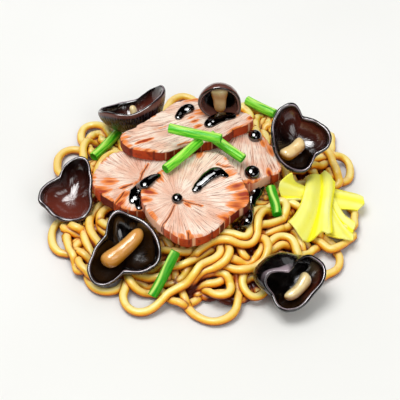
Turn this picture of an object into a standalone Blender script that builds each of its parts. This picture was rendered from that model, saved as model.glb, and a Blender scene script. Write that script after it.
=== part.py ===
"""Yaki ramen: a loose heap of thick fried noodles on a bare surface, topped with four slices of roast
pork, six wood ear mushrooms, seven batons of spring onion, folded ribbons of thin omelette and beads
of black garlic oil.

Lengths in the tables are in millimetres and angles in degrees. +Z is up, the heap rests on z = 0, and
the origin is the middle of its flat underside. +X is to the right and +Y to the back of the serving.
"""

import math
import random

import bmesh
import bpy
from mathutils import Matrix, Vector
from mathutils.bvhtree import BVHTree

MM = 0.001
GAP = 0.5 * MM  # air between a piece and what it lies on
SKY = 200 * MM  # higher than any piece
SHARP_ANGLE = math.radians(50)

# The packed noodles in the middle of the heap
HEAP_HEIGHT = 28 * MM
HEAP_RADIUS = 76 * MM
HEAP_PROFILE = 2.5  # 2 is a round dome, more is flatter on top
HEAP_LOBES = ((-52, 14), (180, 9), (-8, 8), (-128, 4), (64, 10))  # direction and extra reach
LOBE_SPREAD = math.radians(20)
HEAP_DENTS = (
    (-71, -2, 22, 0.4),
    (-40, -48, 22, 0.45),
    (52, -62, 22, 0.4),
    (58, 28, 20, 0.4),
    (12, 62, 14, 0.3),
    (-3, -48, 16, 0.25),
)  # x, y, radius and share of the height that is lost
HEAP_SPOKES = 28
HEAP_RINGS = (0.25, 0.5, 0.7, 0.85, 0.95)
HEAP_EDGE = 1.5 * MM  # height of the widest ring
HEAP_FOOT = 0.96  # size of the flat underside beside the widest ring

# The strands that show, each one a bend that leaves the heap, turns and dives back into it:
# centre x and y, half-width, half-depth, first and last angle, lift above the packed heap
NOODLE_RADIUS = 2.5 * MM
NOODLE_FLOOR = NOODLE_RADIUS + 0.1 * MM  # lowest middle of a strand
NOODLE_CLEAR = 0.45 * MM  # air between a strand and a topping
RIM_ROOM = NOODLE_FLOOR + NOODLE_RADIUS + NOODLE_CLEAR  # lowest underside of a topping
NOODLE_BENDS = (
    (-80, 38, 8, 12, 60, 240, 1),
    (-65, 57, 9, 12, 30, 230, 1),
    (-62, 38, 10, 11, 100, 215, 3),
    (-81, -24, 8, 13, 60, 290, 1),
    (-71, -31, 9, 14, 60, 250, 2),
    (-65, -55, 8, 14, 100, 290, 1),
    (-55, -54, 13, 17, 190, 320, 1),
    (-60, -24, 8, 15, 100, 270, 2),
    (-36, -71, 11, 16, 130, 350, 1),
    (9, -74, 15, 21, 150, 380, 1),
    (32, -65, 7, 13, 160, 360, 1),
    (13, -68, 8, 11, 230, 420, 3),
    (6, -40, 15, 25, 225, 330, 1),
    (28, -47, 13, 17, 230, 430, 2),
    (23, -28, 12, 18, 235, 340, 1),
    (44, -20, 8, 11, -110, 200, 1),
    (-6, -44, 22, 18, 230, 310, 2),
    (51, -46, 8, 11, 0, 165, 2),
    (89, 35, 6, 10, -125, 130, 1),
    (79, -47, 6, 10, -95, 70, 1),
    (83, -24, 10, 12, 190, 400, 1),
    (82, 30, 10, 20, 130, 200, 2),
    (67, -40, 7, 12, -90, 50, 1),
    (-11, 78, 8, 10, 15, 170, 1),
    (32, 73, 8, 11, 15, 160, 1),
    (38, 79, 13, 12, -15, 190, 1),
    (43, 59, 8, 11, 60, 205, 2),
    (44, 46, 7, 9, 60, 220, 1),
    (-55, 38, 8, 17, -10, 95, 1),
    (-64, 30, 11, 17, -15, 75, 2),
)
TAIL_LENGTH = 15 * MM
TAIL_DEPTH = 0.88  # strands end within this share of the heap's reach
BEND_STEP = 30  # degrees of turn between two points of a bend
STRAND_ROUNDS = 3  # rounds of easing a strand down to its lowest neighbours
PROBE_DEPTH = 1 * MM  # a strand's headroom is measured from this far inside the heap
WELD = 0.01 * MM

# More bends, spread over the back and sides of the heap
FILL_BENDS = 9
FILL_SWEEP = (-15, 205)
FILL_LOW = (0.94, 1.0)  # middle of every other bend, as a share of the heap's reach
FILL_HIGH = (0.68, 0.8)  # middle of the ones between
FILL_SIZE = (7.5, 11)
FILL_STRETCH = 1.2  # half-depth beside half-width
FILL_TURN = (95, 130)  # how far a bend turns to either side of its outermost point
FILL_SEED = 5

# Roast pork: centre x and y, then the outline as direction and reach from that centre
PORK_THICKNESS = 7.5 * MM
PORK_SPOKES = 24
PORK_RINGS = (0.34, 0.68, 0.88)
PORK_BEVEL = 0.965  # size of the flat faces beside the widest rings
PORK_RIM = (0.25, 0.8)  # heights of the two widest rings, as shares of the thickness
PORK_SAG = 0.55  # 0 stays flat over what it bridges, 1 follows it down
STIFF_ROUNDS = 50
LIMP_ROUNDS = 12
PORK_REACH = 4 * MM  # how far round a point its support is felt
PORK_SLICES = {
    "pork_left": (-39, -2, ((31, 22), (69, 22), (103, 26), (125, 28), (150, 27), (179, 27),
                            (203, 25), (227, 23), (255, 26), (280, 28), (311, 25), (347, 22))),
    "pork_right": (28, 12, ((3, 21), (26, 22), (46, 22), (65, 26), (99, 25), (130, 24),
                            (163, 27), (196, 28), (227, 27), (257, 21), (275, 22), (309, 19),
                            (338, 23))),
    "pork_front": (-3, -21, ((12, 30), (43, 30), (61, 32), (84, 30), (106, 27), (128, 25),
                             (150, 26), (178, 32), (192, 33), (217, 33), (241, 34), (260, 37),
                             (274, 35), (288, 32), (313, 28), (331, 29), (342, 33), (354, 33))),
    "pork_back": (-8, 30, ((2, 30), (12, 41), (20, 43), (30, 40), (45, 38), (65, 39), (82, 38),
                           (102, 35), (120, 31), (145, 30), (166, 34), (181, 41), (196, 40),
                           (213, 33), (235, 25), (257, 16), (302, 16), (345, 24))),
}

# Beads of black garlic oil: what carries them, x, y, half-length, half-width, height, turn
OIL_BEADS = (
    ("pork_back", -10, 48, 5.0, 2.8, 1.7, 35),
    ("pork_back", 12, 40, 8.5, 3.0, 1.8, 20),
    ("pork_right", 34, 28, 3.6, 3.6, 2.8, 0),
    ("pork_right", 32, -2, 4.4, 4.4, 3.2, 0),
    ("pork_front", -14, -27, 3.2, 3.2, 2.6, 0),
    ("pork_front", 6, -13, 10.5, 3.2, 1.6, 38),
    ("pork_left", -40, -19, 6.5, 3.2, 1.8, 60),
)
BEAD_RISE = 0.25  # a bead's middle above the meat, as a share of its height
BEAD_FACETS = (8, 5)

# Wood ear mushrooms: x, y, tilt towards the front, roll to the right, depth of the cup, outline as
# direction, reach, lift of the rim and turn of the wall at the rim (90 stands upright, more
# folds inwards), then both ends of the stalk in the cup, as x, y, z and radius
EAR_WALL = 2.4 * MM
EAR_SPOKES = 16
EAR_RINGS = (0.32, 0.62, 0.84)
EAR_LIP = 0.95  # the lining's slope from here to its last ring carries the crest on
STALK_RINGS = ((0.02, 0.6), (0.12, 0.95), (0.5, 0.92), (0.88, 0.95), (0.98, 0.6))
STALK_TIP = 0.3  # how far the rounded ends reach on, in radii
WOOD_EARS = {
    "wood_ear_left": (-79, 1, 20, -8, 9, (
        (-3, 12, 1, 85), (40, 16, 3, 85), (66, 22, 4, 84), (95, 17, 3, 85), (122, 11, 1, 88),
        (190, 17, 2, 88), (216, 15, 0, 88), (273, 17, 0, 88), (303, 18, 1, 88)), None),
    "wood_ear_low": (-44, -49, 26, -4, 10, (
        (12, 19, 1, 88), (49, 19, 2, 86), (80, 20, 2, 86), (104, 23, 3, 84), (140, 14, 1, 88),
        (187, 18, 1, 90),
        (214, 24, 1, 84), (235, 24, 0, 84), (267, 12, 0, 90), (324, 18, 2, 88),
        (340, 20, 2, 88)), ((6, 12, 4.5, 3.4), (-10, -9, 4.5, 4.4))),
    "wood_ear_corner": (53, -72, 24, 4, 9, (
        (20, 20, 2, 90), (46, 18, 3, 90), (75, 14, 5, 100), (101, 17, 6, 125),
        (143, 19, 6, 140), (169, 20, 4, 110), (216, 13, 0, 92), (250, 17, 0, 88),
        (271, 17, 0, 88), (327, 14, 1, 90)), ((11, 5, 4.5, 3.3), (-2, -10, 4, 3.2))),
    "wood_ear_right": (60, 28, 36, 6, 9, (
        (6, 17, 4, 85), (37, 14, 2, 85), (80, 12, 0, 88), (99, 19, 3, 84), (118, 20, 3, 84),
        (142, 18, 2, 85),
        (184, 15, 1, 88), (230, 17, 0, 88), (278, 19, 0, 88), (314, 13, 1, 88),
        (346, 17, 3, 85)), ((3, -1, 2.5, 3.4), (-9, -11, 5, 3.0))),
    "wood_ear_back": (-42, 60, -28, 0, 13, (
        (0, 18, 12, 82), (28, 17, 12, 82), (90, 14, 1, 88), (180, 20, -2, 84), (215, 18, 0, 86),
        (270, 14, 0, 84), (325, 17, 8, 82)), ((1, 2, 0, 2.4), (-1, 6, 12, 2.2))),
    "wood_ear_top": (12, 59, 88, 0, 10, (
        (0, 11, 0, 84), (60, 10.5, 0, 84), (120, 10.5, 0, 84), (180, 11, 0, 84),
        (240, 10.5, 0, 84), (290, 11, 0, 84), (325, 12.5, 1, 80)),
        ((0, 2, 1, 6.0), (0.5, -11, 9, 3.4))),
}

# Spring onion batons: x and y of both ends, and how steeply they rise from the first to the last
ONION_RADIUS = 3.1 * MM
ONION_SIDES = 8
ONION_END = 0.86  # size of the cut ends beside the rod
ONION_BEVEL = 0.6 * MM
ONION_BATONS = {
    "onion_under_left": (0, 14, -21, -10, -2),
    "onion_under_right": (6, 20, 26.5, 5, -14),
    "onion_top": (-19, 18, 13, 9, -1),
    "onion_left": (-52, 62, -67, 40, -2),
    "onion_far": (30, 92, 48, 80, -2),
    "onion_right": (43, -5, 47, -24, -14),
    "onion_low": (-14.5, -59.5, -28.5, -78, -40),
}

# Thin omelette: folded ribbons, each by its centre line (three points), width at each of them,
# number of pleats and how high they stand
EGG_THICKNESS = 1.6 * MM
EGG_ROWS = 7
EGG_BULGE = 0.15  # how far the middle of the lower end reaches past its corners, in widths
EGG_PLEAT_START = 0.4  # height of the pleats at the upper end beside the lower end
EGG_SAG = 0.8
EGG_REACH = 2.5 * MM
EGG_RIBBONS = {
    "egg_back": ((73, 6), (85, 5), (99, 0), (15, 22, 12), 1, 1.5),
    "egg_left": ((68, 0), (60, -2), (51, -3), (10, 12, 12), 1, 2.5),
    "egg_right": ((78, 0), (81, -14), (88, -28), (9, 14, 21), 2, 2.0),
    "egg_front": ((74, 15), (75, -8), (64, -34), (18, 14, 27), 2, 3.0),
}


def clear_scene():
    for thing in list(bpy.data.objects):
        bpy.data.objects.remove(thing)


def material(name, colour, roughness):
    made = bpy.data.materials.new(name)
    made.use_nodes = True
    shader = made.node_tree.nodes["Principled BSDF"]
    shader.inputs["Base Color"].default_value = (*colour, 1)
    shader.inputs["Roughness"].default_value = roughness
    shader.inputs["Metallic"].default_value = 0
    return made


def add_object(name, bm, finish):
    """Turns a bmesh into a named object with outward faces and one material."""
    bmesh.ops.recalc_face_normals(bm, faces=bm.faces)
    mesh = bpy.data.meshes.new(name)
    bm.to_mesh(mesh)
    bm.free()
    mesh.materials.append(finish)
    piece = bpy.data.objects.new(name, mesh)
    bpy.context.scene.collection.objects.link(piece)
    return piece


def skin(start, rings, end):
    """A closed solid from a pole, through rings of equally many points, to the other pole."""
    bm = bmesh.new()
    loops = [[bm.verts.new(point) for point in ring] for ring in rings]
    for loop, pole in ((loops[0], start), (loops[-1], end)):
        tip = bm.verts.new(pole)
        for here, there in zip(loop, loop[1:] + loop[:1]):
            bm.faces.new((tip, here, there))
    for inner, outer in zip(loops, loops[1:]):
        for i in range(len(inner)):
            j = (i + 1) % len(inner)
            bm.faces.new((inner[i], inner[j], outer[j], outer[i]))
    return bm


def apply_modifiers(piece):
    graph = bpy.context.evaluated_depsgraph_get()
    mesh = bpy.data.meshes.new_from_object(piece.evaluated_get(graph))
    piece.modifiers.clear()
    piece.data = mesh


def keep_outer_shell(piece):
    """Drops loose scraps and the walls of sealed hollows, so that one closed body is left."""
    bm = bmesh.new()
    bm.from_mesh(piece.data)
    left = set(bm.verts)
    groups = []
    while left:
        stack = [left.pop()]
        group = set(stack)
        while stack:
            for edge in stack.pop().link_edges:
                for vert in edge.verts:
                    if vert in left:
                        left.remove(vert)
                        group.add(vert)
                        stack.append(vert)
        groups.append(group)
    groups.sort(key=len)
    scraps = [vert for group in groups[:-1] for vert in group]
    bmesh.ops.delete(bm, geom=scraps, context="VERTS")
    bm.to_mesh(piece.data)
    bm.free()


def fuse(piece, extras):
    """One Boolean union of a piece and a list of others, which are then removed."""
    group = bpy.data.collections.new(piece.name + "_extras")
    bpy.context.scene.collection.children.link(group)
    for extra in extras:
        bpy.context.scene.collection.objects.unlink(extra)
        group.objects.link(extra)
    union = piece.modifiers.new("union", "BOOLEAN")
    union.operation = "UNION"
    union.operand_type = "COLLECTION"
    union.collection = group
    union.solver = "EXACT"
    bpy.context.view_layer.update()
    apply_modifiers(piece)
    for extra in extras:
        bpy.data.objects.remove(extra)
    bpy.data.collections.remove(group)
    keep_outer_shell(piece)


def tree_of(piece):
    bm = bmesh.new()
    bm.from_mesh(piece.data)
    tree = BVHTree.FromBMesh(bm)
    bm.free()
    return tree


def hit_height(trees, x, y, start, up):
    """Height at which a vertical ray from start meets the nearest of the trees, or None."""
    way = Vector((0, 0, 1 if up else -1))
    found = [tree.ray_cast(Vector((x, y, start)), way)[0] for tree in trees]
    heights = [point.z for point in found if point is not None]
    if not heights:
        return None
    return min(heights) if up else max(heights)


def around(x, y, reach, count=8):
    """Points on a circle round x, y."""
    turns = [math.tau * i / count for i in range(count)]
    return [(x + reach * math.cos(a), y + reach * math.sin(a)) for a in turns]


def curve_at(marks, angle, column=1):
    """Smooth closed curve through marks of (direction, value, ...), read at an angle in radians."""
    marks = sorted(marks, key=lambda mark: mark[0] % 360)
    turn = math.degrees(angle) % 360
    after = next((i for i, mark in enumerate(marks) if mark[0] % 360 > turn), 0)
    directions = [marks[(after + k) % len(marks)][0] for k in (-1, 0)]
    p0, p1, p2, p3 = [marks[(after + k) % len(marks)][column] for k in (-2, -1, 0, 1)]
    span = (directions[1] - directions[0]) % 360
    t = ((turn - directions[0]) % 360) / span
    slope1 = (p2 - p0) / 2
    slope2 = (p3 - p1) / 2
    start = (2 * t**3 - 3 * t**2 + 1) * p1 + (t**3 - 2 * t**2 + t) * slope1
    return start + (3 * t**2 - 2 * t**3) * p2 + (t**3 - t**2) * slope2


# The heap


def heap_reach(angle):
    reach = HEAP_RADIUS
    for direction, extra in HEAP_LOBES:
        off = (angle - math.radians(direction) + math.pi) % math.tau - math.pi
        reach += extra * MM * math.exp(-((off / LOBE_SPREAD) ** 2))
    return reach


def heap_height(x, y):
    """Top of the packed noodles: a flat dome, pressed in where a mushroom lies on it."""
    share = math.hypot(x, y) / heap_reach(math.atan2(y, x))
    height = HEAP_HEIGHT * max(0.0, 1 - share**HEAP_PROFILE)
    for dent_x, dent_y, radius, depth in HEAP_DENTS:
        away = math.hypot(x / MM - dent_x, y / MM - dent_y) / radius
        height *= 1 - depth * math.exp(-(away**2))
    return height


def build_heap(finish):
    """The packed core: a flat underside, a low edge and a domed top."""

    def ring(share, height=None):
        points = []
        for i in range(HEAP_SPOKES):
            a = math.tau * i / HEAP_SPOKES
            x = share * heap_reach(a) * math.cos(a)
            y = share * heap_reach(a) * math.sin(a)
            points.append((x, y, heap_height(x, y) if height is None else height))
        return points

    rings = [ring(HEAP_FOOT, 0.0), ring(1.0, HEAP_EDGE)]
    rings += [ring(share) for share in reversed(HEAP_RINGS)]
    return add_object("noodles", skin((0, 0, 0), rings, (0, 0, HEAP_HEIGHT)), finish)


# Laying pieces on the heap


def support(trees, x, y, reach):
    """Top of what lies at x, y or within reach of it, with room for strands past the edge."""
    best = RIM_ROOM - GAP
    for at in [(x, y), *around(x, y, reach / 2), *around(x, y, reach)]:
        best = max(best, hit_height(trees, *at, SKY, False) or 0.0)
    return best


def smoothed(heights, closed, floor=None):
    """One round of evening out a grid of heights, none of them going below its floor."""
    rows, columns = len(heights), len(heights[0])
    new = []
    for i in range(rows):
        line = []
        for j in range(columns):
            left = (j - 1) % columns if closed else max(j - 1, 0)
            right = (j + 1) % columns if closed else min(j + 1, columns - 1)
            mean = (heights[max(i - 1, 0)][j] + heights[min(i + 1, rows - 1)][j]
                    + heights[i][left] + heights[i][right]) / 4
            line.append(max(mean, floor[i][j]) if floor else mean)
        new.append(line)
    if closed:  # the first row is a single point
        new[0] = [max(sum(new[0]) / columns, floor[0][0] if floor else 0)] * columns
    return new


def drape(grid, trees, reach, sag, closed):
    """Heights at which a grid of x, y points rests on the trees: part stiff, part sagging."""
    low = [[support(trees, x, y, reach) + GAP for x, y in row] for row in grid]
    stiff = low
    for _ in range(STIFF_ROUNDS):
        stiff = smoothed(stiff, closed, low)
    limp = low
    for _ in range(LIMP_ROUNDS):
        limp = smoothed(limp, closed)
    sheet = [[max(s + (m - s) * sag, v) for s, m, v in zip(*rows)] for rows in zip(stiff, limp, low)]
    for _ in range(LIMP_ROUNDS):
        sheet = smoothed(sheet, closed, low)
    return sheet


def lift_clear(piece, below):
    """Raises a draped piece until no facet of it touches what it lies on."""
    under = [tree_of(other) for other in below]
    while any(tree_of(piece).overlap(tree) for tree in under):
        piece.data.transform(Matrix.Translation((0, 0, GAP)))


def settle(piece, below):
    """Lowers a stiff piece straight down until it lies one gap above what is under it."""
    piece.data.transform(Matrix.Translation((0, 0, SKY)))
    corners = [vert.co.copy() for vert in piece.data.vertices]
    under = [tree_of(other) for other in below]
    mine = tree_of(piece)
    room = SKY
    for corner in corners:
        height = hit_height(under, corner.x, corner.y, corner.z, False) or 0.0
        room = min(room, corner.z - max(height, RIM_ROOM - GAP))
    near_x = min(c.x for c in corners), max(c.x for c in corners)
    near_y = min(c.y for c in corners), max(c.y for c in corners)
    for other in below:
        for vert in other.data.vertices:
            x, y, z = vert.co
            if near_x[0] < x < near_x[1] and near_y[0] < y < near_y[1]:
                height = hit_height([mine], x, y, z, True)
                if height is not None:
                    room = min(room, height - z)
    piece.data.transform(Matrix.Translation((0, 0, GAP - room)))


# Roast pork


def build_slice(name, below, finish):
    """A slice of pork: bottom and top follow the same draped sheet, with a rounded rim."""
    cx, cy, marks = PORK_SLICES[name]

    def at(share, spoke):
        a = math.tau * spoke / PORK_SPOKES
        reach = curve_at(marks, a) * share
        return (cx + reach * math.cos(a)) * MM, (cy + reach * math.sin(a)) * MM

    shares = (0.0, *PORK_RINGS, 1.0)
    grid = [[at(share, spoke) for spoke in range(PORK_SPOKES)] for share in shares]
    trees = [tree_of(piece) for piece in below]
    sheet = drape(grid, trees, PORK_REACH, PORK_SAG, closed=True)

    def ring(share, row, up):
        return [(*at(share, i), sheet[row][i] + up * PORK_THICKNESS) for i in range(PORK_SPOKES)]

    inner = [(share, row + 1) for row, share in enumerate(PORK_RINGS)]
    rings = [ring(share, row, 0) for share, row in inner[1:]]
    rings.append(ring(PORK_BEVEL, -1, 0))
    rings += [ring(1, -1, up) for up in PORK_RIM]
    rings.append(ring(PORK_BEVEL, -1, 1))
    rings += [ring(share, row, 1) for share, row in reversed(inner)]
    middle = (cx * MM, cy * MM, sheet[0][0])
    top = (cx * MM, cy * MM, sheet[0][0] + PORK_THICKNESS)
    piece = add_object(name, skin(middle, rings, top), finish)
    lift_clear(piece, below)
    return piece


def build_bead(carrier, x, y, half_length, half_width, height, turn, finish):
    """A bead of oil standing on its carrier, sunk in a little so that it can be fused."""
    bm = bmesh.new()
    bmesh.ops.create_uvsphere(bm, u_segments=BEAD_FACETS[0], v_segments=BEAD_FACETS[1], radius=1)
    size = Matrix.Diagonal((half_length * MM, half_width * MM, height * MM, 1))
    ground = hit_height([tree_of(carrier)], x * MM, y * MM, SKY, False)
    place = Matrix.Translation((x * MM, y * MM, ground + BEAD_RISE * height * MM))
    bm.transform(place @ Matrix.Rotation(math.radians(turn), 4, "Z") @ size)
    return add_object("bead", bm, finish)


# Wood ear mushrooms


def ear_point(marks, depth, share, angle, wall=0.0):
    """A point of the cup's lining, or of its outside when wall is the thickness."""
    reach, lift, curl = [curve_at(marks, angle, column) for column in (1, 2, 3)]
    bend = share * math.radians(curl)
    outwards = reach * MM * math.sin(bend) / math.sin(math.radians(min(curl, 90)))
    rise = depth * MM * (1 - math.cos(bend)) / (1 - math.cos(math.radians(curl)))
    rise += lift * MM * share**3 - wall * math.cos(bend)
    outwards += wall * math.sin(bend)
    return Vector((outwards * math.cos(angle), outwards * math.sin(angle), rise))


def ear_rim(marks, depth, angle):
    """The crest of the cup's edge, half a wall beyond the lining's last ring."""
    inside = ear_point(marks, depth, 1, angle)
    outside = ear_point(marks, depth, 1, angle, EAR_WALL)
    onward = inside - ear_point(marks, depth, EAR_LIP, angle)
    return (inside + outside) / 2 + onward.normalized() * EAR_WALL / 2


def build_stalk(ends, finish):
    """A plump rounded rod between two points, for fusing into a cup."""
    start, end = [Vector(point[:3]) * MM for point in ends]
    radius0, radius1 = [point[3] * MM for point in ends]
    along = (end - start).normalized()
    side = along.orthogonal().normalized()
    over = along.cross(side)
    rings = []
    for share, plump in STALK_RINGS:
        radius = plump * (radius0 + share * (radius1 - radius0))
        middle = start.lerp(end, share)
        rings.append([middle + u * side + v * over for u, v in around(0, 0, radius)])
    tips = start - along * STALK_TIP * radius0, end + along * STALK_TIP * radius1
    return add_object("stalk", skin(tips[0], rings, tips[1]), finish)


def build_ear(name, below, finish):
    """A thin lobed cup with its stalk, leaned over and laid on what is below."""
    x, y, tilt, roll, depth, marks, stalk = WOOD_EARS[name]
    angles = [math.tau * i / EAR_SPOKES for i in range(EAR_SPOKES)]
    shares = (*EAR_RINGS, 1.0)
    rings = [[ear_point(marks, depth, share, a, EAR_WALL) for a in angles] for share in shares]
    rings.append([ear_rim(marks, depth, a) for a in angles])
    rings += [[ear_point(marks, depth, share, a) for a in angles] for share in reversed(shares)]
    cup = add_object(name, skin((0, 0, -EAR_WALL), rings, (0, 0, 0)), finish)
    if stalk:
        fuse(cup, [build_stalk(stalk, finish)])
    lean = Matrix.Rotation(math.radians(tilt), 4, "X") @ Matrix.Rotation(math.radians(roll), 4, "Y")
    cup.data.transform(Matrix.Translation((x * MM, y * MM, 0)) @ lean)
    settle(cup, below)
    return cup


# Spring onion


def build_baton(name, below, finish):
    """A rod with slightly bevelled cut ends, leaned and laid on what is below."""
    *ends, lean = ONION_BATONS[name]
    x0, y0, x1, y1 = [value * MM for value in ends]
    slope = math.radians(lean)
    half = math.hypot(x1 - x0, y1 - y0) / 2 / math.cos(slope)
    rings = []
    for along, grow in ((-half, ONION_END), (-half + ONION_BEVEL, 1),
                        (half - ONION_BEVEL, 1), (half, ONION_END)):
        circle = around(0, 0, grow * ONION_RADIUS, ONION_SIDES)
        rings.append([(along, u, v) for u, v in circle])
    piece = add_object(name, skin((-half, 0, 0), rings, (half, 0, 0)), finish)
    heading = Matrix.Rotation(math.atan2(y1 - y0, x1 - x0), 4, "Z")
    middle = Matrix.Translation(((x0 + x1) / 2, (y0 + y1) / 2, 0))
    piece.data.transform(middle @ heading @ Matrix.Rotation(-slope, 4, "Y"))
    settle(piece, below)
    return piece


# Thin omelette


def quadratic(points, t):
    """Curve from the first of three values, towards the second, to the third."""
    return (1 - t) ** 2 * points[0] + 2 * t * (1 - t) * points[1] + t * t * points[2]


def build_ribbon(name, below, finish):
    """A pleated strip of omelette draped over what lies below."""
    *knots, widths, pleats, stand = EGG_RIBBONS[name]
    knots = [Vector(knot) for knot in knots]
    columns = 4 * pleats + 3
    grid, lifts = [], []
    for i in range(EGG_ROWS):
        t = i / (EGG_ROWS - 1)
        centre = quadratic(knots, t)
        ahead = (1 - t) * (knots[1] - knots[0]) + t * (knots[2] - knots[1])
        side = Vector((-ahead.y, ahead.x)).normalized()
        width = quadratic(widths, t)
        line = []
        for j in range(columns):
            across = 2 * j / (columns - 1) - 1
            bulge = EGG_BULGE * width * t**2 * (1 - across**2)
            spot = centre + side * width * across / 2 + ahead.normalized() * bulge
            line.append(tuple(spot * MM))
        grid.append(line)
        waves = [math.sin(math.pi * pleats * j / (columns - 1)) ** 2 for j in range(columns)]
        pleated = EGG_PLEAT_START + (1 - EGG_PLEAT_START) * t
        lifts.append([stand * MM * wave * pleated for wave in waves])
    trees = [tree_of(piece) for piece in below]
    sheet = drape(grid, trees, EGG_REACH, EGG_SAG, closed=False)
    bm = bmesh.new()
    faces = []
    for up in (0, EGG_THICKNESS):
        faces.append([[bm.verts.new((*grid[i][j], sheet[i][j] + lifts[i][j] + up))
                       for j in range(columns)] for i in range(EGG_ROWS)])
    for verts in faces:
        for i in range(EGG_ROWS - 1):
            for j in range(columns - 1):
                a, b = verts[i][j], verts[i][j + 1]
                c, d = verts[i + 1][j + 1], verts[i + 1][j]
                bm.faces.new((a, b, c))
                bm.faces.new((a, c, d))
    last_row, last_column = EGG_ROWS - 1, columns - 1
    edge = [(i, 0) for i in range(last_row)] + [(last_row, j) for j in range(last_column)]
    edge += [(i, last_column) for i in range(last_row, 0, -1)]
    edge += [(0, j) for j in range(last_column, 0, -1)]
    for (i, j), (k, m) in zip(edge, edge[1:] + edge[:1]):
        bm.faces.new((faces[0][i][j], faces[0][k][m], faces[1][k][m], faces[1][i][j]))
    piece = add_object(name, bm, finish)
    lift_clear(piece, below)
    return piece


# Noodles


def fill_bends():
    """Bends for the back and sides of the heap, low and high by turns, each bulging outwards."""
    draw = random.Random(FILL_SEED)
    bends = []
    for number in range(FILL_BENDS):
        share = (number + draw.random()) / FILL_BENDS
        direction = FILL_SWEEP[0] + share * (FILL_SWEEP[1] - FILL_SWEEP[0])
        a = math.radians(direction)
        out = heap_reach(a) / MM * draw.uniform(*(FILL_LOW if number % 2 else FILL_HIGH))
        size = draw.uniform(*FILL_SIZE)
        start = direction - draw.uniform(*FILL_TURN)
        end = direction + draw.uniform(*FILL_TURN)
        x, y = out * math.cos(a), out * math.sin(a)
        bends.append((x, y, size, size * FILL_STRETCH, start, end, 1))
    return bends


def tail_points(end, before):
    """Two points that carry a strand's end on, turning inwards until it is under the heap."""
    onward = end + (end - before).normalized() * TAIL_LENGTH / 2
    tip = onward - end.normalized() * TAIL_LENGTH / 2
    limit = TAIL_DEPTH * heap_reach(math.atan2(tip.y, tip.x))
    if tip.length > limit:
        tip = tip.normalized() * limit
    return [(end + 2 * onward + tip) / 4, tip]


def bend_points(bend):
    """Plan of one strand: an arc of an ellipse whose ends run on and turn in to the heap."""
    x, y, half_width, half_depth, first, last, lift = bend
    steps = max(4, round((last - first) / BEND_STEP))
    arc = []
    for i in range(steps + 1):
        a = math.radians(first + (last - first) * i / steps)
        arc.append(Vector((x + half_width * math.cos(a), y + half_depth * math.sin(a))) * MM)
    head = tail_points(arc[0], arc[1])
    tail = tail_points(arc[-1], arc[-2])
    sunk = [lift * MM / 2 - NOODLE_RADIUS, -2 * NOODLE_RADIUS]
    lifts = [*reversed(sunk), *[lift * MM] * len(arc), *sunk]
    return [*reversed(head), *arc, *tail], lifts


def room_below(roofs, x, y):
    """Highest middle for a strand that clears the undersides of the toppings above x, y."""
    base = max(heap_height(x, y) - PROBE_DEPTH, WELD)
    room = SKY
    for share in (0.0, 0.6, 1.0):
        rise = NOODLE_RADIUS * math.sqrt(1 - share**2)
        reach = share * (NOODLE_RADIUS + NOODLE_CLEAR)
        for at in around(x, y, reach) if share else [(x, y)]:
            height = hit_height(roofs, *at, base, True)
            if height is not None:
                room = min(room, height - rise - NOODLE_CLEAR)
    return room


def strand_route(bend, roofs):
    """The strand in space: on the heap or beside it, and sunk wherever a topping lies on it."""
    plan, lifts = bend_points(bend)
    middles = [(a + b) / 2 for a, b in zip(plan, plan[1:])]
    rooms = [room_below(roofs, *point) for point in plan]
    between = [SKY, *[room_below(roofs, *point) for point in middles], SKY]
    heights = []
    for i, (point, lift) in enumerate(zip(plan, lifts)):
        heights.append(min(heap_height(*point) + lift, rooms[i], between[i], between[i + 1]))
    for _ in range(STRAND_ROUNDS):
        padded = [heights[0], *heights, heights[-1]]
        means = [sum(padded[i:i + 3]) / 3 + NOODLE_CLEAR for i in range(len(heights))]
        heights = [min(pair) for pair in zip(heights, means)]
    return [Vector((*point, max(height, NOODLE_FLOOR))) for point, height in zip(plan, heights)]


def build_strand(route, finish):
    """A six-sided rod along the route."""
    curve = bpy.data.curves.new("strand", "CURVE")
    curve.dimensions = "3D"
    curve.bevel_depth = NOODLE_RADIUS
    curve.bevel_resolution = 1
    curve.use_fill_caps = True
    spline = curve.splines.new("POLY")
    spline.points.add(len(route) - 1)
    for knot, place in zip(spline.points, route):
        knot.co = (*place, 1)
    rod = bpy.data.objects.new("strand", curve)
    bpy.context.scene.collection.objects.link(rod)
    bpy.context.view_layer.update()
    graph = bpy.context.evaluated_depsgraph_get()
    mesh = bpy.data.meshes.new_from_object(rod.evaluated_get(graph))
    bpy.data.objects.remove(rod)
    bm = bmesh.new()
    bm.from_mesh(mesh)
    bmesh.ops.remove_doubles(bm, verts=bm.verts, dist=WELD)
    return add_object("strand", bm, finish)


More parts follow.
